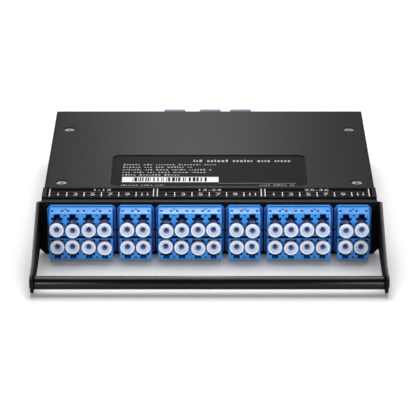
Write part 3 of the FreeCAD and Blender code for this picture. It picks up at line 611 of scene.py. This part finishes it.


# In these finishes the edge colour is a painted highlight laid along outer edges.
POWDER_COAT = Finish("powder_coat_black", grey(0.0060), grey(0.0095), roughness=0.37, roughness_swing=0.04,
                     specular=0.045, grain_scale=1900.0, grain_depth=0.000012, mottle_scale=26.0,
                     mottle_contrast=0.35, edge_amount=0.20, edge_colour=grey(0.06), edge_radius=0.0002,
                     dust_amount=0.02, scratch_amount=0.08, soft_edge=0.0002)
# Its cavity colour is painted shade round the screws and along the label recess.
COVER_COAT = replace(POWDER_COAT, name="cover_coat_black", edge_amount=0.0, soft_edge=0.0009,
                     cavity_amount=1.0, cavity_reach=0.0010, cavity_depth=0.55)
# Its arm-top colour is a painted highlight on the arms' top edges, and its lighter edge colour a painted edge
# highlight.
PANEL_COAT = Finish("panel_coat_black", grey(0.0022), grey(0.0040), roughness=0.40, roughness_swing=0.04,
                    specular=0.10, flank_roughness=0.6, rim_side=0.0689, rim_colour=grey(0.085),
                    grain_scale=1900.0, grain_depth=0.000010, mottle_scale=26.0,
                    mottle_contrast=0.35, edge_amount=0.35, edge_colour=grey(0.08), edge_radius=0.00025,
                    scratch_amount=0.06, soft_edge=0.0002)
LABEL_FILM = Finish("label_film_black", grey(0.0060), grey(0.0090), roughness=0.46, roughness_swing=0.04,
                    specular=0.015, grain_scale=3400.0, grain_depth=0.000006, mottle_scale=30.0,
                    mottle_contrast=0.3, dust_amount=0.015, soft_edge=0.0)
INSERT_FILM = replace(LABEL_FILM, name="insert_film_black", colour=grey(0.0025), second_colour=grey(0.0045),
                      roughness=0.55, specular=0.004, grain_depth=0.000005, dust_amount=0.0)
STRIP_PLASTIC = Finish("strip_plastic_black", grey(0.0045), grey(0.0075), roughness=0.38, roughness_swing=0.05,
                       specular=0.06, grain_scale=2600.0, grain_depth=0.000010, edge_amount=0.35,
                       edge_colour=grey(0.05), soft_edge=0.00012)
BAR_COAT = Finish("bar_black", grey(0.0025), grey(0.0040), roughness=0.20, roughness_swing=0.03, specular=0.26,
                  grain_scale=1500.0, grain_depth=0.000006, mottle_scale=18.0, scratch_amount=0.12,
                  edge_colour=grey(0.08), edge_amount=0.2, soft_edge=0.00018)
# Its bright azure edge colour is a painted highlight along the edges, and its navy cavity colour painted shade in
# the pockets, ports and seams.
ADAPTER_BLUE = Finish("adapter_blue", (0.028, 0.250, 0.740, 1.0), (0.042, 0.290, 0.800, 1.0), roughness=0.31,
                      roughness_swing=0.05, specular=0.22, coat=0.5, coat_roughness=0.36, grain_scale=3000.0,
                      grain_depth=0.000005, mottle_scale=110.0, mottle_contrast=0.4, edge_amount=0.6,
                      edge_colour=(0.13, 0.46, 0.98, 1.0), edge_radius=0.00018, soft_edge=0.00010,
                      cavity_amount=0.95, cavity_reach=0.0014, cavity_depth=0.50,
                      cavity_colour=(0.0015, 0.020, 0.110, 1.0))
# The plug is one milky plastic: the dish, bore and clear finishes are darker, bluer copies of it, painted shade in
# the hollow dish, the deep bore and the neck inside the port; the clear one is also partly translucent.
PLUG_DISH_SHADE = Finish("dust_plug_dish_painted_shade", (0.59, 0.645, 0.82, 1.0), (0.65, 0.705, 0.86, 1.0), roughness=0.30,
                   roughness_swing=0.05, grain_scale=2200.0, grain_depth=0.000004, mottle_scale=160.0,
                   mottle_contrast=0.3, soft_edge=0.0, ior=1.49)
PLUG_MILKY = replace(PLUG_DISH_SHADE, name="dust_plug_milky", colour=(0.72, 0.755, 0.86, 1.0),
                     second_colour=(0.79, 0.825, 0.91, 1.0), roughness=0.34, subsurface=0.25,
                     subsurface_scale=0.0006, subsurface_radius=(0.7, 0.8, 1.0))
PLUG_BORE_SHADE = replace(PLUG_DISH_SHADE, name="dust_plug_bore_painted_shade", colour=(0.26, 0.40, 0.66, 1.0),
                    second_colour=(0.32, 0.46, 0.72, 1.0), roughness=0.35, specular=0.4)
PLUG_CLEAR_SHADE = replace(PLUG_DISH_SHADE, name="dust_plug_clear_painted_shade", colour=(0.13, 0.19, 0.44, 1.0),
                     second_colour=(0.16, 0.23, 0.50, 1.0), roughness=0.24, specular=0.6, transmission=0.25)
# Painted shadow: the dark navy of the line laid in the joint between the adapter rows.
SEAM_SHADOW_NAVY = Finish("painted_seam_shadow_navy", (0.0010, 0.0040, 0.0180, 1.0), (0.0016, 0.0060, 0.0240, 1.0),
                   roughness=0.6, specular=0.05, grain_scale=3000.0, grain_depth=0.000004, soft_edge=0.0)
REAR_SLATE = Finish("rear_adapter_slate", (0.050, 0.062, 0.150, 1.0), (0.066, 0.080, 0.185, 1.0), roughness=0.40,
                    specular=0.3, grain_scale=2800.0, grain_depth=0.000010, edge_amount=0.3,
                    edge_colour=(0.16, 0.18, 0.30, 1.0), soft_edge=0.00018)
CAP_SLATE = Finish("rear_cap_slate", (0.040, 0.044, 0.100, 1.0), (0.052, 0.056, 0.120, 1.0), roughness=0.60,
                   specular=0.03, grain_scale=2200.0, grain_depth=0.000012, edge_amount=0.25,
                   edge_colour=(0.20, 0.21, 0.30, 1.0), soft_edge=0.0003, subsurface=0.1)
SCREW_STEEL = Finish("screw_steel", grey(0.30), grey(0.37, (1.0, 0.99, 0.97)), roughness=0.36,
                     roughness_swing=0.04, metallic=1.0, grain_scale=5200.0, grain_depth=0.000002,
                     mottle_scale=200.0, mottle_contrast=0.4, scratch_amount=0.2, edge_colour=grey(0.9),
                     soft_edge=0.00012)
CERAMIC = Finish("sleeve_ceramic", grey(0.80, (1.0, 0.99, 0.95)), grey(0.84, (1.0, 0.99, 0.96)), roughness=0.12,
                 roughness_swing=0.03, grain_scale=6000.0, grain_depth=0.000002, subsurface=0.2)
INNER_BLUE = Finish("inner_plug_blue", (0.04, 0.20, 0.50, 1.0), (0.05, 0.24, 0.56, 1.0), roughness=0.38,
                    grain_scale=3000.0, grain_depth=0.000010)
BLOCK_BLACK = Finish("block_black", grey(0.020), grey(0.028), roughness=0.6, grain_scale=1400.0,
                     grain_depth=0.000020)
JACKET_AQUA = Finish("fibre_jacket_aqua", (0.02, 0.42, 0.46, 1.0), (0.03, 0.48, 0.52, 1.0), roughness=0.35,
                     grain_scale=2600.0, grain_depth=0.000008)
INK_WHITE = Finish("print_white", grey(0.66), grey(0.78), roughness=0.6, roughness_swing=0.05, specular=0.3,
                   grain_scale=5200.0, grain_depth=0.000004, mottle_scale=900.0, mottle_contrast=0.8,
                   soft_edge=0.0)
INK_DIGIT = replace(INK_WHITE, name="print_digit_white", colour=grey(0.42), second_colour=grey(0.54))
INK_SOFT = replace(INK_WHITE, name="print_soft_white", colour=grey(0.34), second_colour=grey(0.46))
INK_GREY = Finish("print_grey", grey(0.080), grey(0.105), roughness=0.6, roughness_swing=0.05, specular=0.2,
                  grain_scale=5200.0, grain_depth=0.000004, soft_edge=0.0)
INK_BLACK = replace(INK_GREY, name="print_black", colour=grey(0.003), second_colour=grey(0.005), specular=0.05)


# ---- the CAD pieces' finishes
@dataclass
class Wardrobe:
    """Gives each CAD node its finish."""

    effects: EffectLibrary
    materials: dict[str, bpy.types.Material] = field(default_factory=dict)
    by_slot: dict[str, Finish] = field(default_factory=lambda: {
        "housing_black": POWDER_COAT,
        "bar_black": BAR_COAT,
        "strip_black": STRIP_PLASTIC,
        "label_black": LABEL_FILM,
        "adapter_blue": ADAPTER_BLUE,
        "plug_white": PLUG_MILKY,
        "rear_slate": REAR_SLATE,
        "cap_slate": CAP_SLATE,
        "screw_steel": SCREW_STEEL,
        "ceramic_white": CERAMIC,
        "inner_plug_blue": INNER_BLUE,
        "block_black": BLOCK_BLACK,
        "fibre_aqua": JACKET_AQUA,
    })
    by_node: dict[str, Finish] = field(default_factory=lambda: {
        "front_panel": PANEL_COAT,
        "top_cover": COVER_COAT,
        "port_number_insert": INSERT_FILM,
    })

    def material(self, finish: Finish) -> bpy.types.Material:
        """The material of a finish, built on first use.

        Args:
            finish: Which finish.

        Returns:
            Its material.
        """
        if finish.name not in self.materials:
            self.materials[finish.name] = finish.build(self.effects)
        return self.materials[finish.name]

    def dress(self, frame: dict) -> None:
        """Give every CAD node the finish of its record slot.
        """
        slots = {part["node"]: part["material_slot"] for part in frame["record"]["subparts"]}
        for name, node in frame["nodes"].items():
            finish = self.by_node.get(name, self.by_slot[slots[name]])
            for slot in node.material_slots:
                slot.material = self.material(finish)
            LOG.info("dressed %s in %s", name, finish.name)


# ---- dust plugs
@dataclass(frozen=True)
class Turned:
    """A stretch of a turned profile: distances from the axis and along it, in millimetres."""

    points: tuple[tuple[float, float], ...]
    finish: Finish


@dataclass
class DustPlugs:
    """The round translucent plugs in the front ports, turned about each plug's own axis, with painted shade in the
    dish, bore and neck.
    """

    wardrobe: Wardrobe
    nodes: tuple[str, ...] = tuple(f"{row}_dust_plugs_{column}" for row in ("upper", "lower")
                                   for column in range(1, 7))
    steps: int = 32
    rim_radius: float = 2.85
    dish_radius: float = 2.08
    bore_radius: float = 1.05
    bore_depth: float = 5.5
    rim_depth: float = 1.5
    neck_radius: float = 1.35
    stub_start: float = 6.7
    stub_radius: float = 2.15
    length: float = 11.3
    soft: float = 0.12
    weld_reach: float = 0.001 * MM
    join_reach: float = 0.002 * MM
    end_reach: float = 0.4 * MM
    # All but the first finish paint shade in the dish, the bore and the neck.
    finishes: tuple[Finish, ...] = (PLUG_MILKY, PLUG_DISH_SHADE, PLUG_BORE_SHADE, PLUG_CLEAR_SHADE)

    def profile(self) -> tuple[Turned, ...]:
        """The profile from the bottom of the bore, out over the rim and back along the neck and stub.

        Returns:
            Its stretches, one a finish.
        """
        rim, dish, bore, soft = self.rim_radius, self.dish_radius, self.bore_radius, self.soft
        neck, stub = self.neck_radius, self.stub_radius
        return (
            Turned(((0.0, self.bore_depth), (bore - soft, self.bore_depth), (bore, self.bore_depth - soft),
                    (bore, 3.2), (bore, 1.42), (bore + 0.06, 1.22), (bore + 0.18, 1.06)), PLUG_BORE_SHADE),
            Turned(((bore + 0.18, 1.06), (bore + 0.5, 0.74), (dish - 0.16, 0.44),
                    (dish - 0.02, 0.34), (dish + 0.02, 0.12)), PLUG_DISH_SHADE),
            Turned(((dish + 0.02, 0.12), (dish + 0.10, 0.03), (dish + 0.22, 0.0),
                    (rim - 0.20, 0.0), (rim - 0.06, 0.05), (rim, 0.20), (rim, self.rim_depth - 0.16),
                    (rim - 0.05, self.rim_depth - 0.03), (rim - 0.16, self.rim_depth),
                    (neck + soft, self.rim_depth)), PLUG_MILKY),
            Turned(((neck + soft, self.rim_depth), (neck, self.rim_depth + soft),
                    (neck, self.stub_start - soft), (neck + soft, self.stub_start),
                    (stub - soft, self.stub_start), (stub, self.stub_start + soft), (stub, self.length - 0.3),
                    (stub - 0.3, self.length), (0.0, self.length)), PLUG_CLEAR_SHADE),
        )

    def build(self, frame: dict) -> None:
        """Turn one plug and set a copy in every port.
        """
        master = self._turn()
        for node in self.nodes:
            plugs = bmesh.new()
            for place in self._places(frame["nodes"][node]):
                copy = master.copy()
                bmesh.ops.transform(copy, matrix=place, verts=copy.verts)
                absorb(plugs, copy)
            make_piece(f"{node}_turned", plugs, map(self.wardrobe.material, self.finishes), node)
        master.free()

    def _turn(self) -> Mesh:
        """Spin the profile about the Y axis, the rim's face at the origin and the stub towards +Y.

        Returns:
            The mesh of one plug.
        """
        plug = bmesh.new()
        for part in self.profile():
            piece = bmesh.new()
            ring = [piece.verts.new((radius * MM, depth * MM, 0.0)) for radius, depth in part.points]
            edges = [piece.edges.new(pair) for pair in zip(ring, ring[1:])]
            bmesh.ops.spin(piece, geom=ring + edges, cent=(0.0, 0.0, 0.0), axis=(0.0, 1.0, 0.0),
                           dvec=(0.0, 0.0, 0.0), angle=math.tau, steps=self.steps, use_merge=True,
                           use_duplicate=False)
            bmesh.ops.remove_doubles(piece, verts=piece.verts, dist=self.join_reach)
            for face in piece.faces:
                face.material_index = self.finishes.index(part.finish)
                face.smooth = True
            absorb(plug, piece)
        bmesh.ops.remove_doubles(plug, verts=plug.verts, dist=self.join_reach)
        bmesh.ops.recalc_face_normals(plug, faces=plug.faces)
        return plug

    def _places(self, node: bpy.types.Object) -> list[Matrix]:
        """Where each plug of a CAD node sits and how it leans.

        Args:
            node: The CAD node's object.

        Returns:
            One matrix a plug, from left to right.
        """
        solid = bmesh.new()
        solid.from_mesh(node.data)
        bmesh.ops.remove_doubles(solid, verts=solid.verts, dist=self.weld_reach)
        left = set(solid.verts)
        places = []
        while left:
            island, edge = set(), [left.pop()]
            while edge:
                vert = edge.pop()
                island.add(vert)
                for link in vert.link_edges:
                    other = link.other_vert(vert)
                    if other in left:
                        left.remove(other)
                        edge.append(other)
            places.append(self._place([vert.co.copy() for vert in island]))
        solid.free()
        return sorted(places, key=lambda place: place.translation.x)

    def _place(self, points: list[Vector]) -> Matrix:
        """The matrix that puts a turned plug on the axis of these points.

        Args:
            points: The corners of one CAD plug.

        Returns:
            The matrix.
        """
        front_y, back_y = min(point.y for point in points), max(point.y for point in points)
        front = [point for point in points if point.y < front_y + self.end_reach]
        back = [point for point in points if point.y > back_y - self.end_reach]
        face = sum(front, Vector()) / len(front)
        axis = (sum(back, Vector()) / len(back) - face).normalized()
        turn = Vector((0.0, 1.0, 0.0)).rotation_difference(axis).to_matrix().to_4x4()
        return Matrix.Translation(face) @ turn


# ---- painted seam shadows
@dataclass
class AdapterSeams:
    """A painted shadow for the joint between the upper and lower adapter of each column: a thin dark line laid
    over the top of the lower adapter's front.
    """

    wardrobe: Wardrobe
    kinds: tuple[str, ...] = ("quad", "duplex", "quad", "duplex", "quad", "duplex")
    height: float = 0.66 * MM
    drop: float = 0.53 * MM
    depth: float = 0.03 * MM
    past_rims: float = 0.5 * MM

    def build(self) -> None:
        """Lay one painted shadow line across each column."""
        seams = bmesh.new()
        for column, kind in enumerate(self.kinds, start=1):
            upper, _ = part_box(f"upper_{kind}_adapter_{column}")
            _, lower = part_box(f"lower_{kind}_adapter_{column}")
            left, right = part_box(f"lower_dust_plugs_{column}")
            level = (upper[2] + lower[2]) / 2 - self.drop
            centre = Vector(((left[0] + right[0]) / 2, upper[1] - self.depth / 2, level))
            add_box(seams, centre, (right[0] - left[0] + self.past_rims * 2, self.depth, self.height))
        make_piece("adapter_seam_shadows", seams, [self.wardrobe.material(SEAM_SHADOW_NAVY)])


# ---- cable bar
@dataclass
class CableBar:
    """The round bar between the arms, with eased ends."""

    wardrobe: Wardrobe
    node: str = "cable_bar"
    radius: float = 2.66 * MM
    drop: float = 0.36 * MM
    ease: float = 0.3 * MM
    sides: int = 64

    def build(self) -> None:
        """Make the bar between the arms' inner faces."""
        low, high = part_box(self.node)
        bar = bmesh.new()
        turn = Matrix.Rotation(math.pi / 2, 4, "Y")
        bmesh.ops.create_cone(bar, cap_ends=True, segments=self.sides, radius1=self.radius, radius2=self.radius,
                              depth=high[0] - low[0], matrix=turn)
        ends = [edge for edge in bar.edges if abs(edge.verts[0].co.x - edge.verts[1].co.x) < self.ease]
        bmesh.ops.bevel(bar, geom=ends, offset=self.ease, segments=3, profile=0.5, affect="EDGES", material=-1)
        middle = Vector([(a + b) / 2 for a, b in zip(low, high)]) - Vector((0.0, 0.0, self.drop))
        bmesh.ops.translate(bar, vec=middle, verts=bar.verts)
        for face in bar.faces:
            face.smooth = len(face.verts) < 5
        make_piece("cable_bar_round", bar, [self.wardrobe.material(BAR_COAT)], self.node)


# ---- prints
@dataclass
class InkLayer:
    """A thin printed layer made of flat shapes that lie on one plane."""

    name: str
    level: float
    thickness: float = 0.02 * MM
    cap_share: float = 0.72
    mesh: Mesh = field(default_factory=bmesh.new)

    def bar(self, left: float, right: float, front: float, back: float) -> None:
        """Add a rectangle.

        Args:
            left: Lowest X.
            right: Highest X.
            front: Lowest Y.
            back: Highest Y.
        """
        centre = Vector(((left + right) / 2, (front + back) / 2, self.level + self.thickness / 2))
        add_box(self.mesh, centre, (right - left, back - front, self.thickness))

    def number(self, text: str, centre: tuple[float, float], height: float, stretch: float) -> None:
        """Add a plain number.

        Args:
            text: The digits.
            centre: X and Y of its middle.
            height: The digits' height.
            stretch: Width factor.
        """
        curve = bpy.data.curves.new("digit", "FONT")
        curve.body = text
        curve.align_x = curve.align_y = "CENTER"
        curve.size = height / self.cap_share
        curve.resolution_u = 3
        holder = bpy.data.objects.new("digit", curve)
        bpy.context.scene.collection.objects.link(holder)
        outline = bpy.data.meshes.new_from_object(holder)
        layer = bmesh.new()
        layer.from_mesh(outline)
        middle = Vector((centre[0], centre[1], self.level + self.thickness))
        matrix = Matrix.Translation(middle) @ Matrix.Diagonal((stretch, 1.0, 1.0, 1.0))
        bmesh.ops.transform(layer, verts=layer.verts, matrix=matrix)
        absorb(self.mesh, layer)
        bpy.data.objects.remove(holder)
        bpy.data.curves.remove(curve)
        bpy.data.meshes.remove(outline)

    def finish(self, material: bpy.types.Material) -> None:
        """Turn the layer into a piece in one ink."""
        make_piece(self.name, self.mesh, [material])


@dataclass
class PortNumbers:
    """The ticks, rules and plain numbers on the strip over the front ports."""

    wardrobe: Wardrobe
    group_width: float = 42.0 * MM
    group_gap: float = 1.55 * MM
    numbers: tuple[int, ...] = (1, 3, 5, 7, 9, 11)
    ranges: tuple[str, ...] = ("1-12", "13-24", "25-36")
    tick: float = 0.34 * MM
    front_inset: float = 0.15 * MM
    cell_depth: float = 5.0 * MM
    tall_depth: float = 9.2 * MM
    digit_height: float = 3.4 * MM
    range_height: float = 2.3 * MM
    rule: float = 0.34 * MM
    rules: tuple[float, ...] = (-0.05 * MM, 2.05 * MM, 5.35 * MM)
    rule_inset: float = 0.8 * MM
    digit_stretch: float = 0.95
    range_stretch: float = 1.35
    range_drop: float = 0.62

    def build(self) -> None:
        """Print the three groups of cells."""
        low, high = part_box("port_number_insert")
        white = InkLayer("port_numbers", high[2])
        digits = InkLayer("port_digits", high[2])
        lines = InkLayer("port_number_rules", high[2], thickness=0.01 * MM)
        gaps = InkLayer("port_number_gaps", high[2], thickness=0.015 * MM)
        front = low[1] + self.front_inset
        cell_back = front + self.cell_depth
        tall_back = front + self.tall_depth
        middle = (low[0] + high[0]) / 2
        pitch = self.group_width / len(self.numbers)
        for group, text in zip((-1, 0, 1), self.ranges):
            left = middle + group * (self.group_width + self.group_gap) - self.group_width / 2
            for edge in range(len(self.numbers) + 1):
                x = left + edge * pitch
                end = tall_back if edge in (0, len(self.numbers)) else cell_back
                white.bar(x - self.tick / 2, x + self.tick / 2, front, end)
            for cell, number in enumerate(self.numbers):
                centre = (left + (cell + 0.5) * pitch, (front + cell_back) / 2)
                digits.number(str(number), centre, self.digit_height, self.digit_stretch)
            digits.number(text, (left + self.group_width / 2, tall_back - self.range_height * self.range_drop),
                          self.range_height, self.range_stretch)
            if group < 1:
                edge = left + self.group_width
                gaps.bar(edge + self.tick, edge + self.group_gap - self.tick, front, tall_back)
        for offset in self.rules:
            y = front + offset
            lines.bar(low[0] + self.rule_inset, high[0] - self.rule_inset, y - self.rule / 2, y + self.rule / 2)
        for layer, ink in ((white, INK_WHITE), (digits, INK_DIGIT), (lines, INK_GREY), (gaps, INK_BLACK)):
            layer.finish(self.wardrobe.material(ink))


@dataclass(frozen=True)
class DashRow:
    """A row of short dashes in word-like clumps, in millimetres; steps are shares of the tallest dash."""

    left: float
    right: float
    middle: float
    tallest: float
    wide: float = 1.0
    steps: tuple[float, ...] = (0.4, 0.55, 0.55, 0.8)


@dataclass
class CoverPrint:
    """Generic printed matter on the cover's label: rows of dashes, a stripe block and a rule."""

    wardrobe: Wardrobe
    seed: int = 11
    dash_widths: tuple[float, ...] = (0.5, 0.7, 0.9)
    dash_gap: float = 0.5 * MM
    word_gap: float = 1.2 * MM
    word_letters: tuple[int, int] = (3, 8)
    base_share: float = 0.42
    rows: tuple[DashRow, ...] = (
        DashRow(-35.70, 3.2, -13.5, 1.7),
        DashRow(-35.75, -6.6, -16.7, 1.7),
        DashRow(-35.80, 1.2, -19.9, 1.7),
        DashRow(-35.85, -1.4, -23.1, 1.7),
        DashRow(-35.90, -12.2, -26.3, 1.7),
        DashRow(-6.6, 35.4, -9.0, 2.7, 1.25, (0.75, 0.75, 1.0)),
        DashRow(-36.0, -17.0, -39.0, 1.3, 0.8),
        DashRow(20.5, 35.0, -39.0, 1.3, 0.8),
    )
    rule: tuple[float, ...] = (3.6 * MM, 35.4 * MM, -36.95 * MM, -36.75 * MM)
    block: tuple[float, ...] = (-35.8 * MM, 3.8 * MM, -35.4 * MM, -29.0 * MM)
    stripes: tuple[float, ...] = (-31.4 * MM, -0.9 * MM, -34.6 * MM, -29.6 * MM)
    stripe_widths: tuple[float, ...] = (0.28, 0.28, 0.55, 0.55, 0.9, 1.15)
    stripe_gaps: tuple[float, ...] = (0.4, 0.4, 0.75, 1.1)

    def build(self) -> None:
        """Print the label."""
        _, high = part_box("cover_label")
        rng = random.Random(self.seed)
        white = InkLayer("label_marks", high[2])
        soft = InkLayer("label_rows", high[2])
        black = InkLayer("label_stripes", high[2] + white.thickness)
        for row in self.rows:
            self._row(soft, rng, row)
        soft.bar(*self.rule)
        white.bar(*self.block)
        self._stripes(black, rng)
        for layer, ink in ((white, INK_WHITE), (soft, INK_SOFT), (black, INK_BLACK)):
            layer.finish(self.wardrobe.material(ink))

    def _row(self, ink: InkLayer, rng: random.Random, row: DashRow) -> None:
        """Add a row of dashes.

        Args:
            ink: The layer to print on.
            rng: The seeded random source.
            row: Where the row lies and how tall and wide its dashes are.
        """
        x = row.left * MM
        base = (row.middle - row.tallest * self.base_share) * MM
        while x < row.right * MM:
            for _ in range(rng.randint(*self.word_letters)):
                width = row.wide * rng.choice(self.dash_widths) * MM
                if x + width > row.right * MM:
                    return
                ink.bar(x, x + width, base, base + row.tallest * rng.choice(row.steps) * MM)
                x += width + self.dash_gap * row.wide
            x += self.word_gap * row.wide

    def _stripes(self, ink: InkLayer, rng: random.Random) -> None:
        """Add upright stripes of mixed widths over the white block.

        Args:
            ink: The layer to print on.
            rng: The seeded random source.
        """
        x, end, front, back = self.stripes
        while x < end:
            width = rng.choice(self.stripe_widths) * MM
            ink.bar(x, x + width, front, back)
            x += width + rng.choice(self.stripe_gaps) * MM


# ---- studio
@dataclass
class Lamp:
    """A soft area lamp that looks at a point."""

    name: str
    place: tuple[float, float, float]
    target: tuple[float, float, float]
    size: tuple[float, float]
    power: float

    def build(self) -> None:
        """Hang the lamp."""
        data = bpy.data.lights.new(self.name, "AREA")
        data.shape = "RECTANGLE"
        data.size, data.size_y = self.size
        data.energy = self.power
        lamp = bpy.data.objects.new(self.name, data)
        lamp.location = self.place
        aim = Vector(self.target) - Vector(self.place)
        lamp.rotation_euler = aim.to_track_quat("-Z", "Y").to_euler()
        bpy.context.scene.collection.objects.link(lamp)


@dataclass
class Studio:
    """Pale floor, even surround, soft lamps and the camera."""

    floor_half: float = 6.0
    floor_drop: float = 0.05 * MM
    floor_paint: float = 0.90
    floor_shade: float = 0.64
    floor_reach: float = 0.032
    floor_lift: float = 0.05
    floor_sheltered: float = 0.30
    floor_roughness: float = 0.9
    sky_seen: float = 1.0
    sky_lit: float = 0.28
    sky_shine: float = 0.05
    lens: float = 235.4
    elevation: float = 20.0
    camera_place: tuple[float, float, float] = (-0.00052, -1.08465, 0.39353)

    def build(self) -> None:
        """Set up everything round the object."""
        scene = bpy.context.scene
        scene.view_settings.view_transform = "Standard"
        self._world(scene)
        self._floor()
        self._lamps()
        self._camera(scene)

    def _world(self, scene: bpy.types.Scene) -> None:
        """An even surround: white to the camera, softer as light, dim in reflections.

        Args:
            scene: The scene that it surrounds.
        """
        world = bpy.data.worlds.new("studio")
        world.use_nodes = True
        scene.world = world
        build = NodeBuilder(world.node_tree)
        back = world.node_tree.nodes["Background"]
        path = build.add("LightPath")
        seen = build.math("MULTIPLY", path.outputs["Is Camera Ray"], self.sky_seen - self.sky_lit)
        through = build.math("MULTIPLY", path.outputs["Is Transmission Ray"], self.sky_seen - self.sky_lit)
        shine = build.math("MULTIPLY", path.outputs["Is Glossy Ray"], self.sky_shine - self.sky_lit)
        total = build.math("ADD", build.math("ADD", seen, through), build.math("ADD", shine, self.sky_lit))
        build.join(total, back.inputs["Strength"])
        back.inputs["Color"].default_value = (1.0, 1.0, 1.0, 1.0)

    def _floor(self) -> None:
        """A wide pale floor under the base."""
        low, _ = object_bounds()
        mesh = bmesh.new()
        bmesh.ops.create_grid(mesh, x_segments=1, y_segments=1, size=self.floor_half)
        bmesh.ops.translate(mesh, vec=Vector((0.0, 0.0, low[2] - self.floor_drop)), verts=mesh.verts)
        data = bpy.data.meshes.new("studio_floor")
        mesh.to_mesh(data)
        mesh.free()
        floor = bpy.data.objects.new("studio_floor", data)
        bpy.context.scene.collection.objects.link(floor)
        data.materials.append(self._floor_material())
        floor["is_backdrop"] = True

    def _floor_material(self) -> bpy.types.Material:
        """Matt pale paint with a painted shadow, darker where ambient occlusion finds the object near, and a
        little lighter to the camera.

        Returns:
            The material.
        """
        material = bpy.data.materials.new("studio_floor")
        material.use_nodes = True
        build = NodeBuilder(material.node_tree)
        shader = material.node_tree.nodes["Principled BSDF"]
        shader.inputs["Roughness"].default_value = self.floor_roughness
        shader.inputs["Specular IOR Level"].default_value = 0.0
        # Painted shadow: ambient occlusion darkens the floor's colour near the object.
        shade_ao = build.add("AmbientOcclusion", samples=16)
        shade_ao.inputs["Distance"].default_value = self.floor_reach
        unshadowed = build.spread(shade_ao.outputs["AO"], self.floor_sheltered, 1.0)
        paint = build.mix(unshadowed, grey(self.floor_shade), grey(self.floor_paint))
        build.join(paint, shader.inputs["Base Color"])
        shader.inputs["Emission Color"].default_value = (1.0, 1.0, 1.0, 1.0)
        path = build.add("LightPath")
        lift = build.math("MULTIPLY", path.outputs["Is Camera Ray"], self.floor_lift)
        build.join(lift, shader.inputs["Emission Strength"])
        return material

    def _lamps(self) -> None:
        """A wide lamp overhead, a narrow sheen lamp behind and two soft lamps in front."""
        lamps = (
            Lamp("overhead", (0.0, 0.48, 1.28), (0.0, 0.0, 0.0), (0.95, 1.7), 23.0),
            Lamp("rear_sheen", (-0.012, 1.12, 0.68), (0.0, 0.0, 0.02), (0.10, 0.90), 1.46),
            Lamp("front_left", (-0.8, -1.55, 0.33), (0.0, -0.06, 0.01), (0.7, 0.5), 10.0),
            Lamp("front_right", (0.8, -1.55, 0.33), (0.0, -0.06, 0.01), (0.7, 0.5), 10.0),
        )
        for lamp in lamps:
            lamp.build()

    def _camera(self, scene: bpy.types.Scene) -> None:
        """The long-lens camera in front and above.

        Args:
            scene: The scene that it looks at.
        """
        data = bpy.data.cameras.new("camera")
        data.lens = self.lens
        data.sensor_width = 36.0
        data.clip_end = 50.0
        camera = bpy.data.objects.new("camera", data)
        camera.location = self.camera_place
        camera.rotation_euler = (math.radians(90.0 - self.elevation), 0.0, 0.0)
        scene.collection.objects.link(camera)
        scene.camera = camera


def main() -> None:
    """Load the frame, dress it, print on it and set the studio."""
    logging.basicConfig(level=logging.INFO, format="%(name)s: %(message)s")
    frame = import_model()
    effects = EffectLibrary()
    wardrobe = Wardrobe(effects)
    wardrobe.dress(frame)
    DustPlugs(wardrobe).build(frame)
    AdapterSeams(wardrobe).build()
    CableBar(wardrobe).build()
    PortNumbers(wardrobe).build()
    CoverPrint(wardrobe).build()
    Studio().build()


if __name__ == "__main__":
    main()
